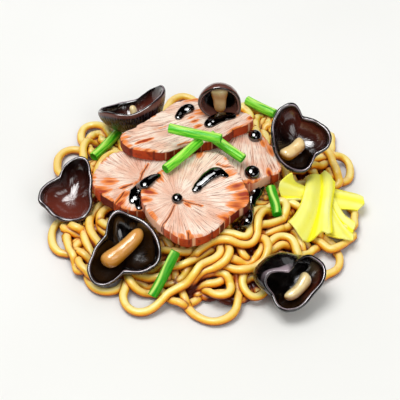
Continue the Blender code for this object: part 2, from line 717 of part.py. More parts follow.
def main():
    clear_scene()
    noodle = material("noodle", (0.80, 0.48, 0.13), 0.4)
    pork = material("pork", (0.80, 0.52, 0.38), 0.5)
    ear = material("wood_ear", (0.03, 0.018, 0.016), 0.2)
    onion = material("spring_onion", (0.10, 0.52, 0.04), 0.35)
    egg = material("omelette", (0.95, 0.85, 0.08), 0.45)
    oil = material("garlic_oil", (0.004, 0.003, 0.003), 0.05)

    heap = build_heap(noodle)
    below = [heap]
    for name in PORK_SLICES:
        pork_slice = build_slice(name, below, pork)
        beads = [bead[1:] for bead in OIL_BEADS if bead[0] == name]
        fuse(pork_slice, [build_bead(pork_slice, *bead, oil) for bead in beads])
        below.append(pork_slice)
    for name in ONION_BATONS:
        below.append(build_baton(name, below, onion))
    for name in EGG_RIBBONS:
        below.append(build_ribbon(name, below, egg))
    for name in WOOD_EARS:
        below.append(build_ear(name, below, ear))

    roofs = [tree_of(piece) for piece in below[1:]]
    strands = []
    for number, bend in enumerate([*NOODLE_BENDS, *fill_bends()]):
        strand = build_strand(strand_route(bend, roofs), noodle)
        if any(tree_of(strand).overlap(roof) for roof in roofs):
            print(f"bend {number} meets a topping and is left out")
            bpy.data.objects.remove(strand)
        else:
            strands.append(strand)
    fuse(heap, strands)
    for piece in [heap, *below[1:]]:
        piece.data.shade_smooth()
        piece.data.set_sharp_from_angle(angle=SHARP_ANGLE)


main()
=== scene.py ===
# %% [markdown]
# # Yaki ramen
# A heap of thick fried noodles carries four slices of roast pork, six wood ear mushrooms, batons of
# spring onion, ribbons of thin omelette and drops of black garlic oil. The packed model gives every
# piece its place. This lesson gives each one its real shape and finish.

# %% Load the frame
import math
import random

import bmesh
import bpy
import numpy as np
from mathutils import Matrix, Vector, noise
from mathutils.bvhtree import BVHTree
from mathutils.kdtree import KDTree


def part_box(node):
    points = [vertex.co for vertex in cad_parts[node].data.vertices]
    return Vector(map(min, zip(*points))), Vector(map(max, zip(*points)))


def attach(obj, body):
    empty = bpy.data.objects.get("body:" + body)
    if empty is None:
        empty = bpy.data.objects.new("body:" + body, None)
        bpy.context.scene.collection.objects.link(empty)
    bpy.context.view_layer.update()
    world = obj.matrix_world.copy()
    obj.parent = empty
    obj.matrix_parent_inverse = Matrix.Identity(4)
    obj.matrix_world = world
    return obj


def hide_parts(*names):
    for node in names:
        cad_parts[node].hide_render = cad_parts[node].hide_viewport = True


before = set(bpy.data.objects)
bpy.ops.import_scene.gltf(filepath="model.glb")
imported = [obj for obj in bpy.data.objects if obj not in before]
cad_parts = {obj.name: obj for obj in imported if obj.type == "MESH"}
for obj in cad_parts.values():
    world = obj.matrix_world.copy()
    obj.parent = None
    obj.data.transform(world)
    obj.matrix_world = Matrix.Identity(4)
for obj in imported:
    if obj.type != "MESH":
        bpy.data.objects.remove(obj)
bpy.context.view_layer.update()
MM = 0.001
print(f"{len(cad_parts)} solids in the frame")

# %% [markdown]
# ## The camera
# A long lens looks down at 45 degrees, as from a chair at the table. Some details are placed as the
# camera sees them: each of four sheets covers a quarter of the view, 8.96 sheet units to a pixel,
# and a point on a sheet is carried along its line of sight until it meets what it belongs to.

# %% Camera and sheets
VIEW_TILT = math.radians(45)
VIEW_DISTANCE = 1.5
VIEW_TARGET = Vector((0, 0, 0.0105))
FRAME_PIXELS = 400
PIXEL_SIZE = 0.000617  # what one pixel covers at the food
FOCAL_PIXELS = VIEW_DISTANCE / PIXEL_SIZE
SENSOR_WIDTH = 36
SHEET_UNITS = 8.96
SHEETS = {"BL": (25, 70), "BR": (200, 70), "FL": (25, 190), "FR": (200, 190)}

eye = VIEW_TARGET + VIEW_DISTANCE * Vector((0, -math.cos(VIEW_TILT), math.sin(VIEW_TILT)))
camera_data = bpy.data.cameras.new("camera")
camera_data.sensor_width = SENSOR_WIDTH
camera_data.lens = camera_data.sensor_width * FOCAL_PIXELS / FRAME_PIXELS
camera = bpy.data.objects.new("camera", camera_data)
camera.location = eye
camera.rotation_euler = (math.pi / 2 - VIEW_TILT, 0, 0)
bpy.context.scene.collection.objects.link(camera)
bpy.context.scene.camera = camera


def sight(sheet, x, y):
    """Direction in which the camera sees a point of a sheet."""
    left, top = SHEETS[sheet]
    u = (left + x / SHEET_UNITS - FRAME_PIXELS / 2) / FOCAL_PIXELS
    v = (FRAME_PIXELS / 2 - top - y / SHEET_UNITS) / FOCAL_PIXELS
    ahead = Vector((0, math.cos(VIEW_TILT), -math.sin(VIEW_TILT)))
    return ahead + u * Vector((1, 0, 0)) + v * Vector((0, math.sin(VIEW_TILT), math.cos(VIEW_TILT)))


def at_height(sheet, x, y, height):
    """Where the line of sight through a sheet's point passes a height above the table."""
    way = sight(sheet, x, y)
    return eye + way * ((height - eye.z) / way.z)


print("lens", round(camera_data.lens), "mm")

# %% [markdown]
# ## Helpers for shapes
# Every plump closed form starts as a globe. Its parallels become the rings of the real shape, so
# each ring and each spoke can be moved by a formula, and the two poles keep it closed. Positions are
# moved as whole arrays, which is quick even for tens of thousands of points.

# %% Globes and arrays
def points_of(mesh):
    """The places of a mesh's points as an array of x, y, z."""
    co = np.zeros(len(mesh.vertices) * 3, np.float32)
    mesh.vertices.foreach_get("co", co)
    return co.reshape(-1, 3).astype(float)


def normals_of(mesh):
    """The outward directions at a mesh's points."""
    way = np.zeros(len(mesh.vertices) * 3, np.float32)
    mesh.vertex_normals.foreach_get("vector", way)
    return way.reshape(-1, 3).astype(float)


def place(mesh, co):
    """Moves a mesh's points and turns its faces outwards."""
    mesh.vertices.foreach_set("co", np.asarray(co, np.float32).ravel())
    bm = bmesh.new()
    bm.from_mesh(mesh)
    bmesh.ops.recalc_face_normals(bm, faces=bm.faces)
    bm.to_mesh(mesh)
    bm.free()
    mesh.update()


def globe(rings, spokes):
    """A ball, and for each of its points the ring (0 at the first pole) and the angle."""
    bm = bmesh.new()
    bmesh.ops.create_uvsphere(bm, u_segments=spokes, v_segments=rings, radius=1)
    mesh = bpy.data.meshes.new("globe")
    bm.to_mesh(mesh)
    bm.free()
    co = points_of(mesh)
    ring = np.rint(np.arccos(np.clip(co[:, 2], -1, 1)) / math.pi * rings).astype(int)
    return mesh, ring, np.arctan2(co[:, 1], co[:, 0])


def paint(mesh, **marks):
    """Stores values for the materials on a mesh's points."""
    for name, values in marks.items():
        values = np.asarray(values, np.float32)
        kind, field = ("FLOAT", "value") if values.ndim == 1 else ("FLOAT_VECTOR", "vector")
        layer = mesh.attributes.new(name, kind, "POINT")
        layer.data.foreach_set(field, values.ravel())


def add_piece(name, mesh, finish, slot, *nodes):
    """A finished piece that rides with the food and stands for the nodes named."""
    mesh.name = name
    mesh.materials.clear()
    mesh.materials.append(finish)
    mesh.shade_smooth()
    thing = bpy.data.objects.new(name, mesh)
    bpy.context.scene.collection.objects.link(thing)
    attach(thing, "root")
    if nodes:
        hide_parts(*nodes)
    mesh.calc_loop_triangles()
    print(f"{name}: {len(mesh.loop_triangles)} triangles")
    return thing


def tree_of(mesh):
    """A mesh's faces, sorted so that rays find them quickly."""
    bm = bmesh.new()
    bm.from_mesh(mesh)
    tree = BVHTree.FromBMesh(bm)
    bm.free()
    return tree


cad_tree = {name: tree_of(node.data) for name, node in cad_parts.items()}
print(len(cad_tree), "solids can be asked for their heights")

# %% [markdown]
# ## Helpers for curves and soft sheets
# Outlines are closed curves through a few marks of direction and reach. Food is never quite
# regular, so a smooth noise gives every edge and surface its small unevenness. Soft sheets take
# their heights from the solids, read on a coarse grid, evened out and then read in between.

# %% Curves and noise
def curve_at(marks, angle, column=1):
    """Smooth closed curve through marks of (direction, value, ...), read at angles in radians."""
    marks = sorted(marks, key=lambda mark: mark[0] % 360)
    turns = np.array([mark[0] % 360 for mark in marks])
    values = np.array([mark[column] for mark in marks], float)
    turn = np.degrees(angle) % 360
    after = np.searchsorted(turns, turn, side="right") % len(marks)
    before = (after - 1) % len(marks)
    t = ((turn - turns[before]) % 360) / ((turns[after] - turns[before]) % 360)
    p0, p1, p2, p3 = [values[(after + k) % len(marks)] for k in (-2, -1, 0, 1)]
    start = (2 * t**3 - 3 * t**2 + 1) * p1 + (t**3 - 2 * t**2 + t) * (p2 - p0) / 2
    return start + (3 * t**2 - 2 * t**3) * p2 + (t**3 - t**2) * (p3 - p1) / 2


def uneven(co, size, shift=0.0):
    """Smooth noise from -1 to 1 over points, with bumps of about a size."""
    away = Vector((shift, 1.7 * shift, 0.3 * shift))
    return np.array([noise.noise(Vector(p) / size + away) for p in co])


# %% [markdown]
# ## Helpers for heights
# A slice or a ribbon lies on what is under it. Rays read the solids' heights on a coarse grid, the
# grid is evened out, and the finished piece reads its own heights between the grid's points.

# %% Grids of heights
RAY_LOW, RAY_HIGH = -0.1, 0.2
JUST_INSIDE = 0.0001


def evened(grid, rounds, wrap):
    """Averages a grid with its neighbours; its columns close on themselves if wrap."""
    for _ in range(rounds):
        padded = np.pad(grid, ((1, 1), (0, 0)), mode="edge")
        sides = np.pad(grid, ((0, 0), (1, 1)), mode="wrap" if wrap else "edge")
        grid = (padded[:-2] + padded[2:] + sides[:, :-2] + sides[:, 2:]) / 4
    return grid


def read_grid(grid, row, column):
    """Values between a grid's points, for rows and columns given as fractions."""
    row = np.clip(row, 0, len(grid) - 1 - JUST_INSIDE)
    column = np.clip(column, 0, grid.shape[1] - 1 - JUST_INSIDE)
    i, j = row.astype(int), column.astype(int)
    u, v = row - i, column - j
    low = grid[i, j] * (1 - v) + grid[i, j + 1] * v
    high = grid[i + 1, j] * (1 - v) + grid[i + 1, j + 1] * v
    return low * (1 - u) + high * u


def hit_height(tree, x, y, up):
    """Height of a solid's underside (up) or top at x, y, or None beside it."""
    start, way = ((x, y, RAY_LOW), (0, 0, 1)) if up else ((x, y, RAY_HIGH), (0, 0, -1))
    point = tree.ray_cast(Vector(start), Vector(way))[0]
    return None if point is None else point.z


print("rays start", RAY_LOW, "m below and", RAY_HIGH, "m above the table")

# %% [markdown]
# ## Helpers for finishes
# A material is a small web of nodes. Placing them one by one takes many lines, so a helper makes a
# node together with its settings and its inputs, and another starts a group of nodes.

# %% Nodes and colours
def colour(text):
    """A colour written as six hex digits, as the linear values that shaders use."""
    parts = [int(text[i:i + 2], 16) / 255 for i in (0, 2, 4)]
    return (*[((c + 0.055) / 1.055) ** 2.4 if c > 0.04045 else c / 12.92 for c in parts], 1)


def wire(tree, kind, inputs=(), **settings):
    """A new node with its settings and inputs, each input a value or another node's output."""
    node = tree.nodes.new(kind)
    for name, value in settings.items():
        setattr(node, name, value)
    for name, value in dict(inputs).items():
        if isinstance(value, bpy.types.NodeSocket):
            tree.links.new(value, node.inputs[name])
        else:
            node.inputs[name].default_value = value
    return node


def start_group(name, inputs, outputs):
    """An empty node group with its sockets, and the nodes at its two ends."""
    tree = bpy.data.node_groups.new(name, "ShaderNodeTree")
    for label, kind, value in inputs:
        socket = tree.interface.new_socket(label, in_out="INPUT", socket_type=kind)
        if value is not None:
            socket.default_value = value
    for label, kind in outputs:
        tree.interface.new_socket(label, in_out="OUTPUT", socket_type=kind)
    return tree, tree.nodes.new("NodeGroupInput"), tree.nodes.new("NodeGroupOutput")


print("plain white is", [round(part, 2) for part in colour("FFFFFF")])

# %% [markdown]
# ## Shared effects
# Two effects are used by most of the food, so each is a node group: a fine unevenness that catches
# the light, as moist food has, and a soft mottling between two colours.

# %% Node groups
VALUE, COLOUR, VECTOR = "NodeSocketFloat", "NodeSocketColor", "NodeSocketVector"

skin_group, given, made = start_group(
    "moist_skin",
    [("Vector", VECTOR, None), ("Scale", VALUE, 900.0), ("Depth", VALUE, 0.0002)],
    [("Normal", VECTOR), ("Mask", VALUE)])
grain = wire(skin_group, "ShaderNodeTexNoise",
             {"Vector": given.outputs["Vector"], "Scale": given.outputs["Scale"], "Detail": 4.0})
bump = wire(skin_group, "ShaderNodeBump",
            {"Height": grain.outputs["Fac"], "Distance": given.outputs["Depth"], "Strength": 0.6})
skin_group.links.new(bump.outputs["Normal"], made.inputs["Normal"])
skin_group.links.new(grain.outputs["Fac"], made.inputs["Mask"])

mottle_group, given, made = start_group(
    "mottle",
    [("Vector", VECTOR, None), ("Scale", VALUE, 80.0), ("From", VALUE, 0.4), ("To", VALUE, 0.65),
     ("First", COLOUR, None), ("Second", COLOUR, None)],
    [("Color", COLOUR)])
cloud = wire(mottle_group, "ShaderNodeTexNoise",
             {"Vector": given.outputs["Vector"], "Scale": given.outputs["Scale"], "Detail": 3.0})
spread = wire(mottle_group, "ShaderNodeMapRange",
              {"Value": cloud.outputs["Fac"], "From Min": given.outputs["From"],
               "From Max": given.outputs["To"]}, interpolation_type="SMOOTHSTEP")
blend = wire(mottle_group, "ShaderNodeMix", data_type="RGBA")
mottle_group.links.new(spread.outputs["Result"], blend.inputs["Factor"])
mottle_group.links.new(given.outputs["First"], blend.inputs[6])
mottle_group.links.new(given.outputs["Second"], blend.inputs[7])
mottle_group.links.new(blend.outputs[2], made.inputs["Color"])
print("node groups:", ", ".join(group.name for group in bpy.data.node_groups))

# %% [markdown]
# ## A finish under construction
# Each material starts from the plain shader and then gets its colour in layers, like glazes: a base,
# and over it a mix wherever a noise or a mark on the surface asks for it. The class below keeps the
# shader and its node tree together, so that a layer takes one line.

# %% Layers of a finish
class Finish:
    """A material under construction, with short ways to add its nodes."""

    def __init__(self, name, **plain):
        self.material = bpy.data.materials.new(name)
        self.material.use_nodes = True
        self.tree = self.material.node_tree
        self.shader = self.tree.nodes["Principled BSDF"]
        for label, value in plain.items():
            self.shader.inputs[label.replace("_", " ")].default_value = value
        self.spot = wire(self.tree, "ShaderNodeTexCoord").outputs["Object"]

    def mark(self, name, vector=False):
        """What paint() stored under a name on the mesh."""
        node = wire(self.tree, "ShaderNodeAttribute", attribute_name=name)
        return node.outputs["Vector" if vector else "Fac"]

    def mix(self, factor, first, second):
        """The first colour, and the second over it as far as the factor says."""
        node = wire(self.tree, "ShaderNodeMix", data_type="RGBA")
        for number, value in ((0, factor), (6, first), (7, second)):
            socket = node.inputs[number]
            if isinstance(value, bpy.types.NodeSocket):
                self.tree.links.new(value, socket)
            else:
                socket.default_value = value
        return node.outputs[2]

    def mottle(self, vector, scale, first, second, low=0.4, high=0.65):
        """Soft clouds of two colours."""
        node = wire(self.tree, "ShaderNodeGroup", node_tree=mottle_group)
        for label, value in (("Vector", vector), ("Scale", scale), ("From", low), ("To", high),
                             ("First", first), ("Second", second)):
            if isinstance(value, bpy.types.NodeSocket):
                self.tree.links.new(value, node.inputs[label])
            else:
                node.inputs[label].default_value = value
        return node.outputs["Color"]

    def remap(self, value, low, high, to_low=0.0, to_high=1.0):
        """A soft step: to_low where the value is low, to_high where it is high."""
        node = wire(self.tree, "ShaderNodeMapRange",
                    {"Value": value, "From Min": low, "From Max": high, "To Min": to_low,
                     "To Max": to_high}, interpolation_type="SMOOTHSTEP")
        return node.outputs["Result"]

    def noise(self, vector, scale, detail=3.0):
        node = wire(self.tree, "ShaderNodeTexNoise",
                    {"Vector": vector, "Scale": scale, "Detail": detail})
        return node.outputs["Fac"]

    def maths(self, operation, *values):
        node = wire(self.tree, "ShaderNodeMath", enumerate(values), operation=operation)
        return node.outputs[0]

    def skin(self, vector, scale, depth, rough_low, rough_high):
        """Adds the fine unevenness, and a roughness that varies with it."""
        node = wire(self.tree, "ShaderNodeGroup", {"Scale": scale, "Depth": depth},
                    node_tree=skin_group)
        self.tree.links.new(vector, node.inputs["Vector"])
        self.tree.links.new(node.outputs["Normal"], self.shader.inputs["Normal"])
        rough = self.remap(node.outputs["Mask"], 0.3, 0.7, rough_low, rough_high)
        self.tree.links.new(rough, self.shader.inputs["Roughness"])

    def done(self, base):
        """Links the finished colour and hands over the material."""
        self.tree.links.new(base, self.shader.inputs["Base Color"])
        print("finish", self.material.name, "has", len(self.tree.nodes), "nodes")
        return self.material


print("a finish can add:", ", ".join(name for name in vars(Finish) if not name.startswith("_")))

# %% [markdown]
# ## The heap
# The middle of the heap is packed noodles soaked in dark sauce, seen only through gaps, and its dark
# colour is also painted shade in those gaps. It is made as one low mound that keeps well below the
# strands that show.

# %% Heap heights
HEAP_HEIGHT = 28 * MM
HEAP_RADIUS = 76 * MM
HEAP_PROFILE = 2.5
HEAP_LOBES = ((-52, 14), (180, 9), (-8, 8), (-128, 4), (64, 10))
LOBE_SPREAD = math.radians(20)
HEAP_DENTS = ((-71, -2, 22, 0.4), (-40, -48, 22, 0.45), (52, -62, 22, 0.4), (58, 28, 20, 0.4),
              (12, 62, 14, 0.3), (-3, -48, 16, 0.25))


def heap_reach(angle):
    """How far the packed heap reaches in a direction."""
    reach = HEAP_RADIUS
    for direction, extra in HEAP_LOBES:
        off = (angle - math.radians(direction) + math.pi) % math.tau - math.pi
        reach = reach + extra * MM * np.exp(-((off / LOBE_SPREAD) ** 2))
    return reach


def heap_height(x, y):
    """Height of the packed heap, without the strands on it."""
    share = np.hypot(x, y) / heap_reach(np.arctan2(y, x))
    height = HEAP_HEIGHT * np.clip(1 - share**HEAP_PROFILE, 0, None)
    for dent_x, dent_y, radius, depth in HEAP_DENTS:
        away = np.hypot(x / MM - dent_x, y / MM - dent_y) / radius
        height = height * (1 - depth * np.exp(-(away**2)))
    return height


print("the heap is", round(heap_height(np.array(0.0), np.array(0.0)) / MM), "mm high in the middle")

# %% [markdown]
# The mound itself is a globe pressed flat from below. Its colour is two browns in soft clouds with
# dark specks, the sauce's own colour and painted shade in one, and its skin is rough and shiny at
# once, as sauce on packed noodles is.

# %% Sauce-soaked middle
CORE_RINGS, CORE_SPOKES = 48, 120
CORE_DROP = 6.5 * MM
CORE_SHARE = 0.9
CORE_LOW = 1.2 * MM
CORE_BUMPS = 1.2 * MM
CORE_BUMP_SIZE = 6 * MM
CORE_FLAT = 3 * MM  # below this height the mound has no bumps

sauce = Finish("sauce", Roughness=0.25, Coat_Weight=0.6, Coat_Roughness=0.1)
# dark browns: the sauce's colour and painted shade for the gaps between strands
sauce_base = sauce.mottle(sauce.spot, 110.0, colour("4A0F06"), colour("9C3A0E"), 0.42, 0.62)
sauce_base = sauce.mix(sauce.remap(sauce.noise(sauce.spot, 300.0), 0.55, 0.7), sauce_base,
                       colour("2A0803"))
sauce.skin(sauce.spot, 260.0, 0.0008, 0.15, 0.4)
sauce_finish = sauce.done(sauce_base)

mesh, ring, angle = globe(CORE_RINGS, CORE_SPOKES)
share = np.sin(ring / CORE_RINGS * math.pi)
x = share * CORE_SHARE * heap_reach(angle) * np.cos(angle)
y = share * CORE_SHARE * heap_reach(angle) * np.sin(angle)
top = np.maximum(heap_height(x, y) - CORE_DROP, CORE_LOW)
top += CORE_BUMPS * uneven(np.stack((x, y, 0 * x), 1), CORE_BUMP_SIZE) * (top > CORE_FLAT)
z = np.where(ring <= CORE_RINGS // 2, top, 0.0)
place(mesh, np.stack((x, y, z), 1))
core = add_piece("noodle_sauce", mesh, sauce_finish, "noodle", "noodles")

# %% [markdown]
# ## The noodles
# Each strand is a soft tube about five millimetres thick. The ones in front are laid where they are
# seen, others fill the back and the layer below, and all of them are then pushed up and down away
# from each other, as far as there is room: that is how a real heap gets its overs and unders.

# %% Strands that are seen
NOODLE_RADIUS = 2.6 * MM
LEVELS = (-1.5, 0.3, 2.0, 3.8)  # millimetres above the packed heap
STRANDS = (
    ("FR", 3, ((20, 540), (90, 490), (170, 462), (260, 470), (340, 495), (410, 505), (470, 480),
               (505, 420), (515, 340), (527, 255), (565, 180), (630, 145), (700, 150))),
    ("FR", 2, ((205, 385), (290, 400), (360, 435), (420, 440), (445, 390), (445, 310), (460, 240),
               (500, 170), (560, 120), (640, 100), (735, 95), (772, 160), (755, 235), (700, 285),
               (620, 310), (550, 318))),
    ("FR", 2, ((520, 425), (575, 450), (605, 520), (595, 600), (545, 670), (470, 715), (380, 730),
               (290, 715), (210, 690))),
    ("FR", 1, ((545, 450), (560, 520), (545, 580), (495, 630), (420, 660), (340, 655), (270, 635))),
    ("FR", 2, ((640, 460), (690, 420), (750, 415), (810, 445), (845, 500), (860, 560))),
    ("FR", 1, ((640, 540), (700, 515), (760, 500), (820, 515))),
    ("FR", 1, ((560, 375), (640, 385), (700, 365), (745, 335))),
    ("FR", 2, ((255, 510), (265, 570), (240, 640), (180, 690), (110, 715), (40, 745), (-20, 790))),
    ("FR", 0, ((110, 540), (60, 590), (0, 640), (-60, 690))),
    ("FR", 1, ((320, 750), (335, 830), (345, 920), (340, 1010), (310, 1090), (240, 1150),
               (140, 1180), (40, 1165), (-60, 1110), (-120, 1030), (-150, 960), (-175, 890))),
    ("FR", 1, ((385, 790), (380, 860), (410, 930), (470, 970), (530, 960), (580, 910), (600, 870))),
    ("FR", 2, ((60, 765), (140, 745), (210, 765), (260, 820), (275, 890), (250, 950), (190, 970),
               (120, 945), (80, 900))),
    ("FR", 1, ((-40, 880), (20, 860), (80, 850), (150, 830), (210, 800))),
    ("FR", 0, ((900, 500), (915, 550), (910, 590))),
    ("FR", 1, ((1065, 400), (1070, 470), (1035, 540), (975, 580), (930, 590))),
    ("FR", 1, ((1105, 510), (1160, 540), (1220, 530), (1275, 495), (1310, 465))),
    ("FR", 0, ((1215, 550), (1250, 610), (1245, 680), (1205, 730), (1140, 760))),
    ("FR", 0, ((1350, 170), (1385, 210), (1380, 260))),
    ("FR", 0, ((365, 560), (395, 610), (450, 640))),
    ("FR", 0, ((330, 540), (320, 600), (290, 640))),
    ("FR", 1, ((410, 800), (465, 775), (520, 780))),
    ("FR", 0, ((0, 800), (60, 810), (130, 800), (190, 770))),
    ("FL", 0, ((400, 285), (310, 290), (255, 350), (240, 430), (260, 510), (310, 560), (360, 570))),
    ("FL", 1, ((455, 660), (440, 620), (400, 540), (380, 450), (400, 360), (450, 318), (500, 325),
               (527, 400), (545, 490), (590, 580))),
    ("FL", 2, ((650, 170), (600, 240), (580, 320), (590, 400), (620, 450), (660, 490))),
    ("FL", 1, ((690, 190), (670, 250), (680, 310), (720, 340), (760, 350))),
    ("FL", 0, ((620, 355), (680, 385), (740, 400))),
    ("FL", 0, ((725, 210), (718, 260), (750, 300))),
    ("FL", 1, ((470, 570), (480, 630), (500, 690), (550, 730))),
    ("FL", 0, ((430, 400), (490, 430))),
    ("FL", 0, ((430, 480), (490, 525))),
    ("FL", 0, ((520, 600), (585, 645))),
    ("FL", 1, ((560, 690), (560, 780), (600, 860), (670, 905), (760, 910), (840, 880), (880, 840))),
    ("FL", 2, ((920, 750), (930, 820), (970, 880), (1040, 915), (1110, 915))),
    ("FL", 3, ((900, 880), (880, 960), (910, 1040), (980, 1090), (1070, 1095), (1150, 1060),
               (1220, 1000), (1290, 930), (1370, 880), (1450, 840), (1520, 770), (1568, 700),
               (1628, 665), (1698, 630), (1748, 580), (1753, 520))),
    ("FL", 0, ((1240, 560), (1320, 575), (1400, 590), (1500, 590), (1568, 575))),
    ("FL", 1, ((1330, 700), (1420, 700), (1500, 670), (1568, 620), (1640, 575), (1690, 540))),
    ("FL", 1, ((1230, 840), (1300, 855), (1380, 830), (1430, 790), (1450, 750))),
    ("FL", 0, ((1400, 710), (1440, 770), (1490, 810), (1540, 830))),
    ("FL", 1, ((970, 755), (1050, 780), (1130, 800), (1200, 800))),
    ("FL", 0, ((960, 725), (1040, 735), (1130, 735), (1210, 700))),
    ("FL", 0, ((1060, 840), (1110, 870), (1170, 850))),
    ("FL", 0, ((1280, 960), (1350, 1010), (1420, 1040), (1460, 1020))),
    ("FL", 0, ((1480, 920), (1540, 950), (1600, 930), (1640, 890))),
    ("BL", 0, ((340, 960), (295, 900), (300, 800), (350, 740), (430, 715), (510, 725))),
    ("BL", 1, ((560, 700), (510, 640), (510, 560), (560, 510), (640, 500), (710, 530), (750, 590))),
    ("BL", 0, ((590, 640), (620, 600), (680, 580), (720, 600))),
    ("BL", 2, ((530, 800), (525, 745), (560, 690), (640, 660), (720, 640), (800, 650), (850, 700))),
    ("BL", 1, ((740, 690), (790, 730), (830, 790))),
    ("BL", 1, ((820, 600), (860, 660), (875, 720))),
    ("BL", 1, ((650, 800), (690, 830), (730, 870))),
    ("BL", 0, ((610, 870), (660, 880), (710, 910))),
    ("BL", 1, ((1280, 335), (1330, 270), (1410, 240), (1490, 260), (1545, 310))),
    ("BR", 1, ((370, 330), (430, 325), (490, 345), (550, 390))),
    ("BR", 1, ((375, 410), (410, 360), (470, 350), (540, 385))),
    ("BR", 2, ((500, 540), (500, 480), (540, 430), (600, 415), (660, 430))),
    ("BR", 1, ((530, 540), (560, 480), (620, 460), (660, 470))),
    ("BR", 0, ((550, 560), (600, 525), (650, 535))),
    ("BR", 0, ((560, 600), (600, 575), (650, 595))),
    ("BR", 3, ((1040, 740), (1110, 755), (1160, 800), (1200, 880), (1220, 940))),
    ("BR", 0, ((1190, 800), (1260, 795), (1320, 830), (1345, 900), (1330, 980), (1270, 1010),
               (1225, 1000))),
    ("BR", 2, ((1175, 660), (1180, 710), (1165, 760))),
    ("BR", 1, ((970, 820), (985, 880), (1000, 930))),
    ("BR", 2, ((1030, 800), (1055, 860), (1070, 910))),
    ("BR", 2, ((1100, 770), (1130, 830), (1150, 890))),
    ("BR", 0, ((735, 880), (765, 930), (775, 980))),
    ("BR", 0, ((790, 920), (820, 950), (830, 990))),
)


SIGHT_ROUNDS = 8


def on_heap(sheet, x, y, lift):
    """Where the line of sight through a sheet's point meets the heap, raised by a lift."""
    height = 0.0
    for _ in range(SIGHT_ROUNDS):
        spot = at_height(sheet, x, y, height)
        height = max(float(heap_height(spot.x, spot.y)) + lift, NOODLE_RADIUS)
    return spot.x, spot.y


seen = [(np.array([on_heap(sheet, *point, LEVELS[level] * MM) for point in points]), level)
        for sheet, level, points in STRANDS]
print(len(seen), "strands are seen")

# %% [markdown]
# The back of the heap has loops of its own that hang out over the table, and a lower layer of
# strands wanders everywhere underneath, each with a gently changing curl.

# %% Strands that fill the heap
BACK_SWEEP = (-15, 205)  # directions in degrees
BACK_BENDS = 9
BACK_TURN = (95, 130)  # how far a bend turns to each side of its middle
BACK_SIZE = (7.5, 11)  # radius of a bend in millimetres
BACK_POINTS = 9
FAR_OUT, NEAR_IN = (0.94, 1.0), (0.68, 0.8)  # where bends lie, as shares of the heap's reach
FILL_STRANDS = 84
FILL_LENGTH = (50, 80)  # in steps
FILL_START = (0.05, 0.8)
FILL_EDGE = 0.9  # a strand turns back at this share of the reach
BACK_TURNING = 1.25
SWERVE = 0.16
CURL_RADIUS = 10 * MM
STEP = 1.5 * MM


def back_bends():
    """Open loops at the back, every second one far out over the table."""
    draw = random.Random(5)
    for number in range(BACK_BENDS):
        share = (number + draw.random()) / BACK_BENDS
        direction = BACK_SWEEP[0] + share * (BACK_SWEEP[1] - BACK_SWEEP[0])
        a = math.radians(direction)
        out = heap_reach(a) * draw.uniform(*(FAR_OUT if number % 2 else NEAR_IN))
        size = draw.uniform(*BACK_SIZE) * MM
        first = math.radians(direction - draw.uniform(*BACK_TURN))
        last = math.radians(direction + draw.uniform(*BACK_TURN))
        turn = np.linspace(first, last, BACK_POINTS)
        yield np.stack((out * math.cos(a) + size * np.cos(turn),
                        out * math.sin(a) + size * 1.2 * np.sin(turn)), 1)


def wandering(draw):
    """A strand that curls about at random and turns back before the heap's edge."""
    a = draw.uniform(0, math.tau)
    spot = Vector((math.cos(a), math.sin(a))) * math.sqrt(draw.uniform(*FILL_START)) * heap_reach(a)
    heading, curl = draw.uniform(0, math.tau), draw.uniform(-1, 1)
    path = []
    for _ in range(draw.randint(*FILL_LENGTH)):
        path.append(tuple(spot))
        curl = max(-1.0, min(1.0, curl + draw.gauss(0, SWERVE)))
        a = math.atan2(spot.y, spot.x)
        if spot.length > FILL_EDGE * heap_reach(a):
            curl = math.copysign(BACK_TURNING, math.sin(a + math.pi - heading))
        heading += curl * STEP / CURL_RADIUS
        spot += STEP * Vector((math.cos(heading), math.sin(heading)))
    return np.array(path[::4])


draw = random.Random(11)
backs = [(path, 1) for path in back_bends()]
fills = [(wandering(draw), -1) for _ in range(FILL_STRANDS)]
print(len(backs), "loops at the back,", len(fills), "strands underneath")

# %% [markdown]
# A strand that shows is part of a longer noodle, so its ends are carried on and sink into the heap.
# Every path is then read at even steps, because the settling compares strands point by point.

# %% Tails and even steps
TAIL_SINK = (-9.0, -6.0, -2.5)
FILL_SINK = -4.6
BETWEEN = 10  # points of the smooth curve from one mark to the next


def with_tails(path):
    """Carries both ends of a strand on, turning inwards under the heap."""
    ends = []
    for end, before in ((path[0], path[1]), (path[-1], path[-2])):
        ahead = (end - before) / np.linalg.norm(end - before)
        inwards = -end / np.linalg.norm(end)
        ends.append([end + ahead * 7 * MM, end + (ahead * 9 + inwards * 7) * MM,
                     end + (ahead * 6 + inwards * 15) * MM])
    return np.concatenate((ends[0][::-1], path, ends[1]))


def resampled(path, step):
    """A smooth curve through the points, read at even steps, and where along the points each is."""
    padded = np.concatenate((2 * path[:1] - path[1:2], path, 2 * path[-1:] - path[-2:-1]))
    dense, where = [], []
    for k in range(len(path) - 1):
        p0, p1, p2, p3 = padded[k:k + 4]
        for t in np.linspace(0, 1, BETWEEN, endpoint=False):
            dense.append(0.5 * (2 * p1 + (p2 - p0) * t + (2 * p0 - 5 * p1 + 4 * p2 - p3) * t**2
                                + (3 * p1 - p0 - 3 * p2 + p3) * t**3))
            where.append(k + t)
    dense.append(path[-1])
    where.append(len(path) - 1)
    dense = np.array(dense)
    far = np.concatenate(([0], np.cumsum(np.linalg.norm(np.diff(dense, axis=0), axis=1))))
    even = np.linspace(0, far[-1], max(4, int(far[-1] / step)))
    spots = np.stack([np.interp(even, far, dense[:, k]) for k in (0, 1)], 1)
    return spots, np.interp(even, far, where)


